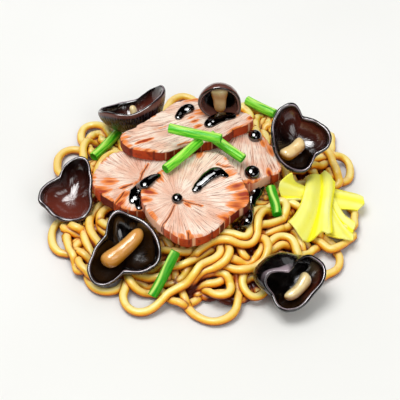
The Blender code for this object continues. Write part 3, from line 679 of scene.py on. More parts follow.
strands = []
for path, level in [*seen, *backs, *fills]:
    if level < 0:
        spots, _ = resampled(path, STEP)
        lift = np.full(len(spots), FILL_SINK * MM)
    else:
        spots, where = resampled(with_tails(path), STEP)
        knots = [*TAIL_SINK, *[LEVELS[level]] * len(path), *TAIL_SINK[::-1]]
        lift = np.interp(where, range(len(knots)), knots) * MM
    strands.append((spots, lift))
print(len(strands), "strands,", sum(len(s) for s, _ in strands), "points")

# %% [markdown]
# ## Settling
# Where two strands pass closer than one thickness, the upper is pushed up and the lower
# down. The toppings are a roof, the table is a floor, and each strand stays smooth along itself.

# %% Where the strands would like to be
WAVE_HEIGHT = 0.9 * MM
WAVE_LENGTH = 9 * MM
WAVE_SHIFT = 2.4  # from one strand to the next

spots = np.concatenate([s for s, _ in strands])
owner = np.concatenate([np.full(len(s), k) for k, (s, _) in enumerate(strands)])
along = np.concatenate([np.arange(len(s)) for s, _ in strands])
wave = WAVE_HEIGHT * np.sin(along * STEP / WAVE_LENGTH + owner * WAVE_SHIFT)
wanted = heap_height(spots[:, 0], spots[:, 1]) + np.concatenate([w for _, w in strands])
wanted = np.maximum(wanted, NOODLE_RADIUS)
hidden = owner >= len(seen) + len(backs)
inner = np.ones(len(spots), bool)
inner[along == 0] = False
inner[np.append(along[1:] == 0, True)] = False
print(len(spots), "points,", int(hidden.sum()), "of them in the hidden layer")

# %% [markdown]
# Feelers on three rings of each point ask the toppings' solids how low they hang there.

# %% The toppings as a roof
ROOF_RINGS = ((0.0, 1), (0.6, 6), (1.0, 8))  # share of the noodle's radius, feelers on that ring
ROOF_GAP = 0.3 * MM
NO_ROOF = 1.0
roofs = [tree for name, tree in cad_tree.items() if name != "noodles"]


def roof_over(spots):
    """How high each spot of a strand may lie before it touches a topping."""
    roof = np.full(len(spots), NO_ROOF)
    for share, count in ROOF_RINGS:
        rise = NOODLE_RADIUS * math.sqrt(1 - share**2) + ROOF_GAP
        reach = share * (NOODLE_RADIUS + ROOF_GAP)
        for k in range(count):
            turn = math.tau * k / count
            aside = reach * math.cos(turn), reach * math.sin(turn)
            for i, (px, py) in enumerate(spots):
                for tree in roofs:
                    found = hit_height(tree, px + aside[0], py + aside[1], True)
                    if found is not None:
                        roof[i] = min(roof[i], found - rise)
    return roof


print(len(roofs), "solids are a roof")

# %% [markdown]
# Each round pushes the strands of a pair apart, draws every point a little towards its goal and
# evens each strand out along itself. A hidden strand yields more than one that shows.

# %% Push the strands apart
SETTLE_ROUNDS = 90
SQUASH = 0.93  # cooked noodles flatten a little where they cross
OWN_BEND = 8  # points of the same strand this close along it do not push each other
YIELD = 0.8  # share of a push that a hidden strand takes where it meets a seen one
PUSH, PULL = 0.6, 0.04  # how much of the push and of the way to the goal one round takes


def eased_along(values, rounds):
    """Values evened out along each strand."""
    for _ in range(rounds):
        eased = values.copy()
        eased[1:-1] = (values[:-2] + 2 * values[1:-1] + values[2:]) / 4
        values = np.where(inner, eased, values)
    return values


def close_pairs(spots):
    """Pairs of points nearer than one thickness in plan, and how near."""
    finder = KDTree(len(spots))
    for i, (px, py) in enumerate(spots):
        finder.insert((px, py, 0), i)
    finder.balance()
    first, second, gap = [], [], []
    for i, (px, py) in enumerate(spots):
        for _, j, distance in finder.find_range((px, py, 0), 2 * NOODLE_RADIUS):
            if i < j and (owner[i] != owner[j] or abs(along[i] - along[j]) > OWN_BEND):
                first.append(i)
                second.append(j)
                gap.append(distance)
    return np.array(first), np.array(second), np.array(gap)


def settled(spots, goal):
    """Heights that keep strands apart where there is room, and otherwise stay near the goal."""
    roof = roof_over(spots)
    first, second, gap = close_pairs(spots)
    need = SQUASH * np.sqrt((2 * NOODLE_RADIUS) ** 2 - gap**2)
    side = np.where(goal[first] >= goal[second], 1.0, -1.0)
    give = 0.5 + (YIELD - 0.5) * (hidden[first].astype(float) - hidden[second])
    height = goal.copy()
    for _ in range(SETTLE_ROUNDS):
        lack = need - side * (height[first] - height[second])
        push = np.clip(lack, 0, None) * side
        up, down = np.zeros(len(spots)), np.zeros(len(spots))
        np.maximum.at(up, first, push * give)
        np.minimum.at(down, first, push * give)
        np.maximum.at(up, second, -push * (1 - give))
        np.minimum.at(down, second, -push * (1 - give))
        height += PUSH * (up + down) + PULL * (goal - height)
        height = eased_along(height, 1)
        height = np.maximum(np.minimum(height, roof), NOODLE_RADIUS)
    print(f"{len(first)} close pairs, deepest overlap {1000 * lack.max():.1f} mm")
    return height


# %% [markdown]
# A strand that was pushed up looks as if it had moved back, so it is slid along the line of sight to
# where it is seen, and then everything settles once more.

# %% Settle the strands in two passes
LARGEST_SHIFT = (-9 * MM, 0.5 * MM)
SHIFT_EASING, HEIGHT_EASING = 20, 16  # rounds

height = settled(spots, wanted + wave)
shift = eased_along(np.clip(wanted - height, *LARGEST_SHIFT) * (owner < len(seen)), SHIFT_EASING)
spots[:, 1] += shift
height = settled(spots, eased_along(height, HEIGHT_EASING))
print(f"seen strands slid by up to {1000 * np.abs(shift).max():.1f} mm")

# %% [markdown]
# ## Noodle finish
# Fried noodles are golden, with each strand's own tone and a few orange stains. Light and shade are
# painted into that colour: paler with a painted highlight on top, orange painted shade at the sides,
# brown painted shade underneath and where strands touch, and dark painted shade on the ones deep in
# the heap. The colour follows marks on the points: how far a spot faces up, how near another strand
# is, how deep it lies, and each strand's own tone.

# %% Noodle finish
noodle = Finish("noodle", Roughness=0.35, Specular_IOR_Level=0.3, Coat_Weight=0.1,
                Coat_Roughness=0.2)
crown, tone, deep = noodle.mark("crown"), noodle.mark("tone"), noodle.mark("deep")
# painted light: golden to yellow the more a spot faces up, and a pale cream painted highlight on the
# top
noodle_base = noodle.mix(noodle.remap(crown, -0.1, 0.85), colour("F49204"), colour("FFDC50"))
noodle_base = noodle.mix(noodle.remap(crown, 0.6, 0.98, 0.0, 0.85), noodle_base, colour("FFEFA4"))
noodle_base = noodle.mix(noodle.remap(tone, 0.0, 1.0, 0.0, 0.3), noodle_base, colour("FFB62C"))
stain = noodle.remap(noodle.noise(noodle.spot, 150.0), 0.56, 0.75, 0.0, 0.35)
noodle_base = noodle.mix(stain, noodle_base, colour("F39C1C"))
# painted shade: orange at the sides and dark brown underneath
noodle_base = noodle.mix(noodle.remap(crown, -0.1, 0.6, 0.9, 0.0), noodle_base, colour("EE8A06"))
noodle_base = noodle.mix(noodle.remap(crown, -0.4, 0.2, 0.95, 0.0), noodle_base, colour("762E04"))
# painted shade where another strand's skin is near
touch = noodle.mark("touch")
noodle_base = noodle.mix(noodle.remap(touch, 0.0, 0.6, 0.0, 0.55), noodle_base, colour("EE8406"))
noodle_base = noodle.mix(noodle.remap(touch, 0.45, 0.95, 0.0, 0.9), noodle_base, colour("6A2804"))
# painted shade on strands that lie deep below the tops of those round them
noodle_base = noodle.mix(noodle.remap(deep, 0.2, 0.6, 0.0, 0.85), noodle_base, colour("C85408"))
noodle_base = noodle.mix(noodle.remap(deep, 0.45, 0.8, 0.0, 0.97), noodle_base, colour("4C0C02"))
noodle.skin(noodle.spot, 500.0, 0.0002, 0.26, 0.46)
noodle_finish = noodle.done(noodle_base)

# %% [markdown]
# How deep a spot lies is measured from the tops of the strands round it. They are gathered on a grid
# seen from above, and evened out so that the shade has no steps.

# %% Height of the strands' tops
CELL = 1.5 * MM
HALF_CELLS = 90
CELLS_ROUND = 2  # a strand covers this many cells to each side of its middle
TOPS_EASING = 6
tops = np.zeros((2 * HALF_CELLS + 1, 2 * HALF_CELLS + 1))
cells = np.rint(spots / CELL).astype(int) + HALF_CELLS
for i in range(-CELLS_ROUND, CELLS_ROUND + 1):
    for j in range(-CELLS_ROUND, CELLS_ROUND + 1):
        drop = NOODLE_RADIUS**2 - (i * i + j * j) * CELL**2
        if drop > 0:
            np.maximum.at(tops, (cells[:, 0] + i, cells[:, 1] + j), height + math.sqrt(drop))
tops = evened(tops, TOPS_EASING, False)
print("the strands reach up to", round(tops.max() / MM), "mm")

# %% [markdown]
# ## Noodle tubes
# A strand is a curve with a round bevel, made a mesh at once. Its thickness swells a little along
# its length, because no noodle is quite even.

# %% Tubes
BEVEL_RESOLUTION = 4
SWELL, SWELL_STEP = 0.05, 0.35


def tube(path, sizes):
    """A strand as a mesh: a round bevel along a path."""
    curve = bpy.data.curves.new("strand", "CURVE")
    curve.dimensions = "3D"
    curve.bevel_depth = NOODLE_RADIUS
    curve.bevel_resolution = BEVEL_RESOLUTION
    curve.use_fill_caps = True
    spline = curve.splines.new("POLY")
    spline.points.add(len(path) - 1)
    spline.points.foreach_set("co", np.column_stack((path, np.ones(len(path)))).ravel())
    spline.points.foreach_set("radius", sizes)
    rod = bpy.data.objects.new("strand", curve)
    bpy.context.scene.collection.objects.link(rod)
    bpy.context.view_layer.update()
    mesh = bpy.data.meshes.new_from_object(rod.evaluated_get(bpy.context.evaluated_depsgraph_get()))
    bpy.data.objects.remove(rod)
    return mesh


print("a strand is", round(2 * NOODLE_RADIUS / MM, 1), "mm thick")

# %% [markdown]
# Where two strands touch, a thin line of painted shade darkens them. Each point looks for the centre
# lines of other strands near it; what is left after one radius is the distance to their skin.

# %% Where strands touch
TOUCH_WIDTH = 1.3 * MM
centre_lines = KDTree(len(spots))
for i, (px, py) in enumerate(spots):
    centre_lines.insert((px, py, height[i]), i)
centre_lines.balance()


def touch_of(co, owners):
    """How near each point of a strand is to the skin of another strand, from 0 to 1; this sets the
    painted shade where strands touch.
    """
    touch = np.zeros(len(co))
    for i, place in enumerate(co):
        for _, j, distance in centre_lines.find_range(place, NOODLE_RADIUS + TOUCH_WIDTH):
            if owner[j] != owners[i]:
                touch[i] = max(touch[i], 1 - (distance - NOODLE_RADIUS) / TOUCH_WIDTH)
    return np.clip(touch, 0, 1)


print(len(spots), "points of centre lines can be asked")

# %% [markdown]
# The strands that show are one piece and the hidden layer is another, which keeps each below the
# limit of triangles. The hidden layer gets extra painted shade, so it is darker by itself.

# %% Build the noodles
SHADE_START = 1.6 * MM
SHADE_DEPTH = 4.6 * MM
UNDER_SHADE = 0.36


def noodle_piece(name, chosen, shade=0.0):
    """The chosen strands as one piece, with the marks that the finish reads."""
    bm = bmesh.new()
    tones, owners = [], []
    draw = random.Random(name)
    for k in chosen:
        mine = owner == k
        path = np.column_stack((spots[mine], height[mine]))
        sizes = 1 + SWELL * np.sin(np.arange(len(path)) * SWELL_STEP + k)
        strand = tube(path, sizes)
        bm.from_mesh(strand)
        tones += [draw.random()] * len(strand.vertices)
        owners += [k] * len(strand.vertices)
        bpy.data.meshes.remove(strand)
    bmesh.ops.recalc_face_normals(bm, faces=bm.faces)
    mesh = bpy.data.meshes.new(name)
    bm.to_mesh(mesh)
    bm.free()
    co, way = points_of(mesh), normals_of(mesh)
    cover = read_grid(tops, *(co[:, :2].T / CELL + HALF_CELLS)) - co[:, 2]
    # depth below the tops sets the painted shade; the hidden layer gets extra painted shade
    deep_in = np.clip(shade + (cover - SHADE_START) / SHADE_DEPTH, 0, 1)
    # the marks of facing up, of nearness to other strands and of depth carry painted light and shade;
    # tone is each strand's own colour
    paint(mesh, crown=way[:, 2], tone=tones, deep=deep_in, touch=touch_of(co, owners))
    return add_piece(name, mesh, noodle_finish, "noodle", "noodles")


count_seen = len(seen) + len(backs)
noodle_pieces = [noodle_piece("noodles_top", range(count_seen)),
                 noodle_piece("noodles_under", range(count_seen, len(strands)), UNDER_SHADE)]

# %% [markdown]
# ## Roast pork
# Each slice is a soft disc that sags over the heap. Its outline is cut as the solid's is, and its
# surface gets fine grooves along the fibres of the meat, cracks and a pleated, browned rim. The
# grooves radiate from the slice's own whorl, which is where the fibres meet.

# %% Outlines of the slices
PORK_THICKNESS = 7.5 * MM
# centre x and y, the whorl of the fibres, then the outline as direction and reach
PORK_SLICES = {
    "pork_left": (-39, -2, (-34, -4), (
        (31, 22), (69, 22), (103, 26), (125, 28), (150, 27), (179, 27), (203, 25), (227, 23),
        (255, 26), (280, 28), (311, 25), (347, 22))),
    "pork_right": (28, 12, (30, 70), (
        (3, 21), (26, 22), (46, 22), (65, 26), (99, 25), (130, 24), (163, 27), (196, 28),
        (227, 27), (257, 21), (275, 22), (309, 19), (338, 23))),
    "pork_front": (-3, -21, (-14, -27), (
        (12, 30), (43, 30), (61, 32), (84, 30), (106, 27), (128, 25), (150, 26), (178, 32),
        (192, 33), (217, 33), (241, 34), (260, 37), (274, 35), (288, 32), (313, 28), (331, 29),
        (342, 33), (354, 33))),
    "pork_back": (-8, 30, (60, 75), (
        (2, 30), (12, 41), (20, 43), (30, 40), (45, 38), (65, 39), (82, 38), (102, 35),
        (120, 31), (145, 30), (166, 34), (181, 41), (196, 40), (213, 33), (235, 25), (257, 16),
        (302, 16), (345, 24))),
}
print("slices:", ", ".join(PORK_SLICES))

# %% [markdown]
# Roasting leaves orange and brown patches, mostly near the rim, and the meat cracks along its
# sinews. Both are placed as they are seen, one by one, because no rule would put them there.

# %% Patches and cracks
# Browned patches: sheet, x, y, radius in millimetres, strength
BROWNED = {
    "pork_left": (("BL", 640, 1070, 5, 1.0), ("BL", 760, 980, 3.5, 0.6), ("BL", 660, 1150, 4, 0.8),
                  ("FL", 650, 60, 4, 0.8), ("FL", 740, 150, 4, 0.6), ("FL", 850, 110, 3.5, 0.8),
                  ("FL", 1000, 190, 4, 0.7), ("BL", 890, 1040, 1.6, 0.9),
                  ("BL", 1010, 1010, 2, 0.7), ("FL", 900, 30, 2.5, 0.6)),
    "pork_front": (("BL", 1170, 970, 4, 0.9), ("BL", 1110, 1100, 3, 0.9), ("FL", 1070, 90, 3, 0.6),
                   ("BR", 20, 760, 3.5, 0.9), ("BR", 10, 800, 2, 0.7), ("BR", 250, 950, 4, 0.6),
                   ("BR", 330, 1060, 4, 0.8), ("BR", 400, 1110, 5, 1.0), ("FR", 400, 60, 5, 0.9),
                   ("FR", 330, 110, 4, 0.7), ("FR", 240, 215, 4, 0.8), ("FR", 430, 190, 3, 0.9),
                   ("FL", 1500, 430, 4, 0.6), ("FL", 1560, 450, 4, 0.8),
                   ("FL", 1455, 110, 1.8, 0.8), ("FL", 1300, 460, 2.5, 0.5)),
    "pork_right": (("BR", 640, 700, 3.5, 0.6), ("BR", 690, 720, 3, 0.8), ("BR", 620, 915, 2.6, 0.9),
                   ("BR", 440, 1040, 3.5, 0.9), ("BR", 570, 640, 2.5, 0.5),
                   ("BR", 190, 690, 2.5, 0.5)),
    "pork_back": (("BL", 1030, 660, 2, 0.8), ("BL", 1075, 648, 2.5, 0.9), ("BL", 1115, 628, 1.8, 0.8),
                  ("BL", 900, 600, 2.5, 0.4), ("BL", 1130, 532, 1.2, 0.4),
                  ("BL", 1170, 512, 1.5, 0.45), ("BL", 1215, 492, 1.5, 0.45),
                  ("BL", 1255, 477, 1.2, 0.4), ("BL", 1488, 395, 1.8, 0.6), ("BL", 1520, 435, 2, 0.8),
                  ("BL", 1550, 485, 2, 0.8), ("BR", 60, 335, 5, 0.6), ("BR", 140, 350, 4, 0.5),
                  ("BR", 455, 450, 2, 1.0), ("BR", 330, 410, 1.5, 0.4)),
}
# Where a rim is left pale: direction, spread, strength
PALE_RIMS = {"pork_front": (222, 42, 1.2), "pork_right": (298, 24, 1.1)}
# Cracks: sheet, then a line of points
CRACKS = {
    "pork_left": (("BL", ((1100, 860), (1050, 930), (1025, 1010), (1010, 1045))),
                  ("BL", ((860, 1045), (900, 1035), (960, 1015))),
                  ("FL", ((790, 125), (840, 60), (890, 0)))),
    "pork_front": (("FL", ((1340, 120), (1290, 210), (1240, 265), (1190, 345))),
                   ("FL", ((1410, 75), (1500, 95), (1580, 115))),
                   ("FL", ((1460, 330), (1472, 430), (1468, 510))),
                   ("BR", ((150, 885), (215, 905), (300, 905)))),
    "pork_right": (("BR", ((560, 1015), (640, 965), (720, 938))),),
    "pork_back": (("BL", ((1380, 690), (1440, 665), (1500, 670))),),
}
print(sum(len(patches) for patches in BROWNED.values()), "browned patches")

# %% [markdown]
# ## Pork finish
# The meat is pale pink with fibres in two widths, drawn on the fibres' own coordinates. Browned
# patches break up along the fibres. The rim is dark red-brown, cut into plates with paler seams.

# %% Pork finish
pork = Finish("pork", Roughness=0.6, Specular_IOR_Level=0.25)
fibre_place = pork.mark("fibre", vector=True)
fibres = pork.remap(pork.noise(fibre_place, 34.0, 2.0), 0.5, 0.68)
pork_base = pork.mottle(pork.spot, 90.0, colour("FCE9D6"), colour("F0C2A8"), 0.35, 0.7)
pork_base = pork.mix(pork.remap(fibres, 0.0, 1.0, 0.0, 0.7), pork_base, colour("E2A284"))
hair = pork.remap(pork.noise(fibre_place, 85.0, 1.0), 0.57, 0.66, 0.0, 0.85)
pork_base = pork.mix(hair, pork_base, colour("8E4830"))
browned, rim_wall, cut = pork.mark("browned"), pork.mark("wall"), pork.mark("cut")
patchy = pork.maths("ADD", pork.noise(fibre_place, 14.0, 4.0), -0.5)
patchy = pork.maths("MULTIPLY_ADD", patchy, 2.0, browned)
patchy = pork.maths("MULTIPLY", patchy, pork.remap(browned, 0.08, 0.3))
pork_base = pork.mix(pork.remap(patchy, 0.0, 0.6, 0.0, 0.95), pork_base, colour("F08428"))
pork_base = pork.mix(pork.remap(patchy, 0.5, 1.1, 0.0, 0.95), pork_base, colour("A02804"))
wall_colour = pork.mix(pork.remap(pork.mark("plate"), 0.1, 0.9), colour("640E02"), colour("C8480E"))
wall_colour = pork.mix(pork.remap(pork.noise(pork.spot, 260.0), 0.5, 0.75, 0.0, 0.6), wall_colour,
                       colour("480A02"))
wall_colour = pork.mix(pork.remap(pork.mark("plate"), 0.9, 1.6, 0.0, 0.85), wall_colour,
                       colour("F2BE9E"))
wall_colour = pork.mix(pork.remap(pork.mark("seam"), 0.3, 0.9, 0.0, 0.8), wall_colour,
                       colour("F6BC90"))
pork_base = pork.mix(pork.remap(rim_wall, 0.3, 0.8), pork_base, wall_colour)
pork_base = pork.mix(pork.remap(cut, 0.2, 0.9, 0.0, 0.85), pork_base, colour("5E1C0C"))
pork.skin(pork.spot, 700.0, 0.00035, 0.5, 0.7)
pork_finish = pork.done(pork_base)

# %% [markdown]
# ## Building a slice
# The profile from the middle of the top, round the rim and back to the middle of the underside is
# the same for every slice. Its rim is nearly upright, with small rounded corners.

# %% Profile of a slice
TOP_RINGS, RIM_RINGS, UNDER_RINGS, PORK_SPOKES = 46, 12, 10, 440
FLAT_SHARE = 0.97  # the flat part of the top, as a share of the reach
CORNER_OUT, CORNER_DOWN = 0.5, 0.6  # below 1 the rim is squarer than a half circle


def slice_profile():
    """Share of the reach and of the thickness for each ring, from the middle of the top."""
    rings = [(k / TOP_RINGS * FLAT_SHARE, 1.0) for k in range(TOP_RINGS + 1)]
    for k in range(1, RIM_RINGS):
        turn = math.pi * k / RIM_RINGS
        down = math.copysign(abs(math.cos(turn)) ** CORNER_DOWN, math.cos(turn))
        rings.append((FLAT_SHARE + (1 - FLAT_SHARE) * math.sin(turn) ** CORNER_OUT, 0.5 + 0.5 * down))
    rings += [(FLAT_SHARE * (1 - k / UNDER_RINGS), 0.0) for k in range(UNDER_RINGS + 1)]
    return np.array(rings)


def near_line(co, points):
    """Distance from each point of co to a line of points, in plan."""
    best = np.full(len(co), 1.0)
    for a, b in zip(points, points[1:]):
        a, b = np.array(a[:2]), np.array(b[:2])
        t = np.clip(((co[:, :2] - a) @ (b - a)) / ((b - a) @ (b - a)), 0, 1)
        best = np.minimum(best, np.linalg.norm(co[:, :2] - a - t[:, None] * (b - a), axis=1))
    return best


print(len(slice_profile()), "rings in the profile of a slice")

# %% [markdown]
# A slice sags over what carries it. The solid's underside is read on rings and spokes and evened
# out, and the whole slice follows it.

# %% Sag of a slice
SAG_ROWS, SAG_SPOKES = 16, 72
SAG_REACH = 0.95
SAG_EASING = 8


def underside(name):
    """Heights of a slice's underside, on rings out to most of its reach and on spokes."""
    cx, cy, _, marks = PORK_SLICES[name]
    under = np.zeros((SAG_ROWS, SAG_SPOKES + 1))
    for i, share in enumerate(np.linspace(0, SAG_REACH, SAG_ROWS)):
        for j in range(SAG_SPOKES + 1):
            a = math.tau * j / SAG_SPOKES - math.pi
            reach = curve_at(marks, np.array([a]))[0] * share * MM
            under[i, j] = hit_height(cad_tree[name], cx * MM + reach * math.cos(a),
                                     cy * MM + reach * math.sin(a), True) or under[i - 1, j]
    under[0] = under[0].mean()
    under[:, :-1] = evened(under[:, :-1], SAG_EASING, True)
    under[:, -1] = under[:, 0]
    return under


print("the sag is read at", SAG_ROWS * SAG_SPOKES, "places of a slice")

# %% [markdown]
# What is seen on a slice comes in layers: the plates and grooves of the rim, the fibres that radiate
# from the whorl, the patches and the cracks. Each one moves the points a little and is stored as a
# mark, so that shape and colour agree.

# %% Build the slices
PLATE = 7 * MM
PLATE_DRIFT, PLATE_SWAY = 0.35, 1.3  # plates are of uneven width
PALE_SEAMS = 0.55  # share of the seams that are pale
WALL_START, WALL_WIDTH = 0.955, 0.02
GROOVE_WIDTH, GROOVE_DEPTH = 0.7 * MM, 0.5 * MM
RIM_SHARE, RIM_LEVEL = 0.9, 0.93
GRAIN_REACH = 30  # millimetres from the whorl at which the fibres have their plain width
GRAIN_ALONG = 0.0012
WAVES, WAVE_SIZE = 0.5 * MM, 9 * MM
FIBRE_DEPTH, FIBRE_SIZE = 0.3 * MM, 0.06
LIP_HEIGHT, LIP_SHARE, LIP_WIDTH = 0.35 * MM, 0.93, 0.04
RIM_BROWN, RIM_BROWN_START, RIM_BROWN_WIDTH = 0.6, 0.86, 0.1
PATCH_LONG, PATCH_WIDE, PATCH_STRENGTH = 1.5, 0.8, 1.3
CRACK_WIDTH, CRACK_DEPTH = 0.5 * MM, 0.7 * MM
CRACK_SWAY, CRACK_SWAY_SIZE = 0.5 * MM, 3 * MM
CRACK_BROWN, CRACK_BROWN_WIDTH = 0.5, 1.6 * MM
DARK_SEAM = 0.8


def build_slice(name):
    """A slice of roast pork over its solid's underside."""
    cx, cy, whorl, marks = PORK_SLICES[name]
    under = underside(name)
    profile = slice_profile()
    mesh, ring, angle = globe(len(profile) - 1, PORK_SPOKES)
    share, level = profile[ring].T
    reach = curve_at(marks, angle) * MM
    cell = (angle + math.pi) * reach.mean() / PLATE
    cell = cell + PLATE_DRIFT * np.sin(cell * PLATE_SWAY)
    edge = np.abs(cell - np.rint(cell)) * PLATE
    plate = np.array([random.Random(f"{name}{int(c)}").random() for c in np.rint(cell - 0.5)])
    pale = np.array([random.Random(f"seam{name}{int(c)}").random() < PALE_SEAMS
                     for c in np.rint(cell)])
    if name in PALE_RIMS:
        direction, spread, paleness = PALE_RIMS[name]
        off = (angle - math.radians(direction) + math.pi) % math.tau - math.pi
        plate = plate + paleness * np.exp(-((off / math.radians(spread)) ** 2))
    wall = np.clip((share - WALL_START) / WALL_WIDTH, 0, 1)
    groove = np.exp(-((edge / GROOVE_WIDTH) ** 2)) * wall
    out = reach * share - GROOVE_DEPTH * groove * (share > RIM_SHARE)
    x = cx * MM + out * np.cos(angle)
    y = cy * MM + out * np.sin(angle)
    sag = read_grid(under, share / SAG_REACH * (SAG_ROWS - 1),
                    (angle + math.pi) / math.tau * SAG_SPOKES)
    z = sag + level * PORK_THICKNESS

    away = np.stack((x / MM - whorl[0], y / MM - whorl[1]), 1)
    far = np.hypot(*away.T)
    turn = np.arctan2(away[:, 1], away[:, 0]) * max(1.0, np.median(far) / GRAIN_REACH)
    fibre = np.stack((np.cos(turn), np.sin(turn), far * GRAIN_ALONG), 1)
    top = level > 0.9
    z += top * WAVES * uneven(np.stack((x, y, 0 * x), 1), WAVE_SIZE, 3.0)
    z -= top * FIBRE_DEPTH * np.clip(uneven(fibre, FIBRE_SIZE, 5.0) * 2, 0, 1)
    z += top * LIP_HEIGHT * np.exp(-(((share - LIP_SHARE) / LIP_WIDTH) ** 2))

    spots = np.stack((x, y, z), 1)
    spoke = np.stack((np.cos(angle), np.sin(angle), 0 * x), 1)
    brown = RIM_BROWN * np.clip((share - RIM_BROWN_START) / RIM_BROWN_WIDTH, 0, 1)
    brown = brown * np.clip(0.5 + 1.4 * uneven(spoke, 0.35, cx), 0, 1)
    level_top = float(z[top].mean())
    grain = away / np.maximum(far, 1)[:, None]
    for sheet, px, py, radius, strength in BROWNED[name]:
        spot = at_height(sheet, px, py, level_top)
        beside = np.stack((x - spot.x, y - spot.y), 1)
        along_grain = (beside * grain).sum(1) / (PATCH_LONG * radius * MM)
        across = beside[:, 0] * grain[:, 1] - beside[:, 1] * grain[:, 0]
        across = across / (PATCH_WIDE * radius * MM)
        patch = PATCH_STRENGTH * strength * np.exp(-(along_grain**2 + across**2))
        brown = np.maximum(brown, patch)
    cut = np.zeros(len(spots))
    for sheet, line in CRACKS[name]:
        line = [at_height(sheet, *point, level_top) for point in line]
        close = near_line(spots + CRACK_SWAY * uneven(spots, CRACK_SWAY_SIZE, 2.0)[:, None], line)
        mark = np.exp(-((close / CRACK_WIDTH) ** 2)) * (level > 0.5)
        spots[:, 2] -= CRACK_DEPTH * mark
        cut = np.maximum(cut, mark)
        beside_crack = CRACK_BROWN * np.exp(-((close / CRACK_BROWN_WIDTH) ** 2)) * (level > 0.5)
        brown = np.maximum(brown, beside_crack)
    place(mesh, spots)
    on_wall = np.where(level < RIM_LEVEL, 1.0, 0.0) * (share > RIM_SHARE)
    paint(mesh, fibre=fibre, browned=brown, wall=on_wall, plate=plate, seam=groove * pale,
          cut=np.maximum(cut, DARK_SEAM * groove * ~pale))
    return add_piece(name + "_meat", mesh, pork_finish, "pork", name)


slices = [build_slice(name) for name in PORK_SLICES]

# %% [markdown]
# ## Spring onion finish
# Two of the batons are of the darker leaf. Streaks of lighter and deeper green run along each one, so
# the colours are read on coordinates that are stretched along the leaf. A pale streak along one side
# of each baton is a painted highlight.

# %% Onion finish
onion = Finish("spring_onion", Roughness=0.3, Specular_IOR_Level=0.15, Coat_Weight=0.05,
               Coat_Roughness=0.1)
length_wise = onion.mark("leaf", vector=True)
onion_base = onion.mottle(length_wise, 2.2, colour("38BE14"), colour("9CF04A"), 0.35, 0.65)
onion_base = onion.mix(onion.remap(onion.noise(length_wise, 5.0, 2.0), 0.5, 0.75, 0.0, 0.55),
                       onion_base, colour("129010"))
onion_base = onion.mix(onion.remap(onion.mark("dark_leaf"), 0.0, 1.0, 0.0, 0.75), onion_base,
                       colour("08900E"))
# painted highlight: a pale streak along one side of each baton
onion_base = onion.mix(onion.remap(onion.mark("gleam"), 0.0, 1.0, 0.0, 0.8), onion_base,
                       colour("DCFF80"))
onion_base = onion.mix(onion.remap(onion.mark("cut_end"), 0.1, 0.9, 0.0, 0.8), onion_base,
                       colour("1E9A12"))
onion.skin(onion.spot, 600.0, 0.0002, 0.28, 0.45)
onion_finish = onion.done(onion_base)

# %% [markdown]
# ## Building a baton
# A baton is a cut length of leaf: a round rod, slightly ridged, whose ends are sunk a little where
# the leaf was hollow. Its axis is the long way of the solid, found from the spread of its corners.

# %% Build the batons
ONION_RADIUS = 3.1 * MM
# one end of the rod: how far in from the tip in millimetres, and how thick, ring by ring
END = ((0.9, 0.0), (0.85, 0.45), (0.5, 0.68), (0.1, 0.8), (0.0, 0.9), (0.15, 0.97), (0.5, 1.0))
BODY_RINGS = 26
ONION_SPOKES = 48
INSIDE_SOLID = 0.995, 0.98  # length and thickness beside the solid's
RIDGES = ((5, 0.025, 1), (9, 0.015, -1))  # how many, how high, which way the phase turns them
BOW = 0.4 * MM
# where the painted highlight runs round the rod, how it sways along it, and how wide it is
GLEAM_ANGLE, GLEAM_SWAY, GLEAM_WIDTH = 1.75, 0.2, 0.3
DARK_BATONS = ("onion_low", "onion_right")


def build_baton(name):
    """A baton of spring onion along its solid's long axis."""
    corners = points_of(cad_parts[name].data)
    low, high = [np.array(corner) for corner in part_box(name)]
    middle = (low + high) / 2
    axis = np.linalg.svd(corners - corners.mean(0), full_matrices=False)[2][0]
    half = np.abs((corners - middle) @ axis).max() * INSIDE_SOLID[0]
    side = np.cross(axis, (0, 0, 1))
    side /= np.linalg.norm(side)
    over = np.cross(side, axis)

    ends = np.array(END)
    body = np.linspace(-half + ends[-1, 0] * MM, half - ends[-1, 0] * MM, BODY_RINGS + 2)[1:-1]
    place_along = np.concatenate((-half + ends[:, 0] * MM, body, half - ends[::-1, 0] * MM))
    size = np.concatenate((ends[:, 1], np.ones(BODY_RINGS), ends[::-1, 1]))
    mesh, ring, angle = globe(len(size) - 1, ONION_SPOKES)
    here, grow = place_along[ring], size[ring]
    phase = random.Random(name).uniform(0, math.tau)
    ridge = 1 + sum(high * np.cos(count * angle + way * phase) for count, high, way in RIDGES)
    radius = ONION_RADIUS * INSIDE_SOLID[1] * grow * ridge
    bow = BOW * (1 - (here / half) ** 2)
    co = (middle + here[:, None] * axis + (radius * np.cos(angle) + bow)[:, None] * side
          + (radius * np.sin(angle))[:, None] * over)
    place(mesh, co)
    off = angle - GLEAM_ANGLE - GLEAM_SWAY * np.sin(here / half * 3)
    gleam = np.exp(-((off / GLEAM_WIDTH) ** 2)) * (grow > 0.98)
    leaf = np.stack((here / half * 0.5, 1.2 * np.cos(angle), 1.2 * np.sin(angle) + phase), 1)
    cut_end = np.clip((0.95 - grow) / 0.1, 0, 1)
    dark_leaf = np.full(len(co), float(name in DARK_BATONS))
    paint(mesh, leaf=leaf, cut_end=cut_end, gleam=gleam, dark_leaf=dark_leaf)
    return add_piece(name + "_leaf", mesh, onion_finish, "spring_onion", name)


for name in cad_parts:
    if name.startswith("onion"):
        build_baton(name)

# %% [markdown]
# ## Omelette finish
# Thin omelette is a bright, even yellow that lets a little light in. Painted light makes the ridges
# paler and painted shade makes the valleys a deeper yellow, so the shape stays readable in strong
# light.

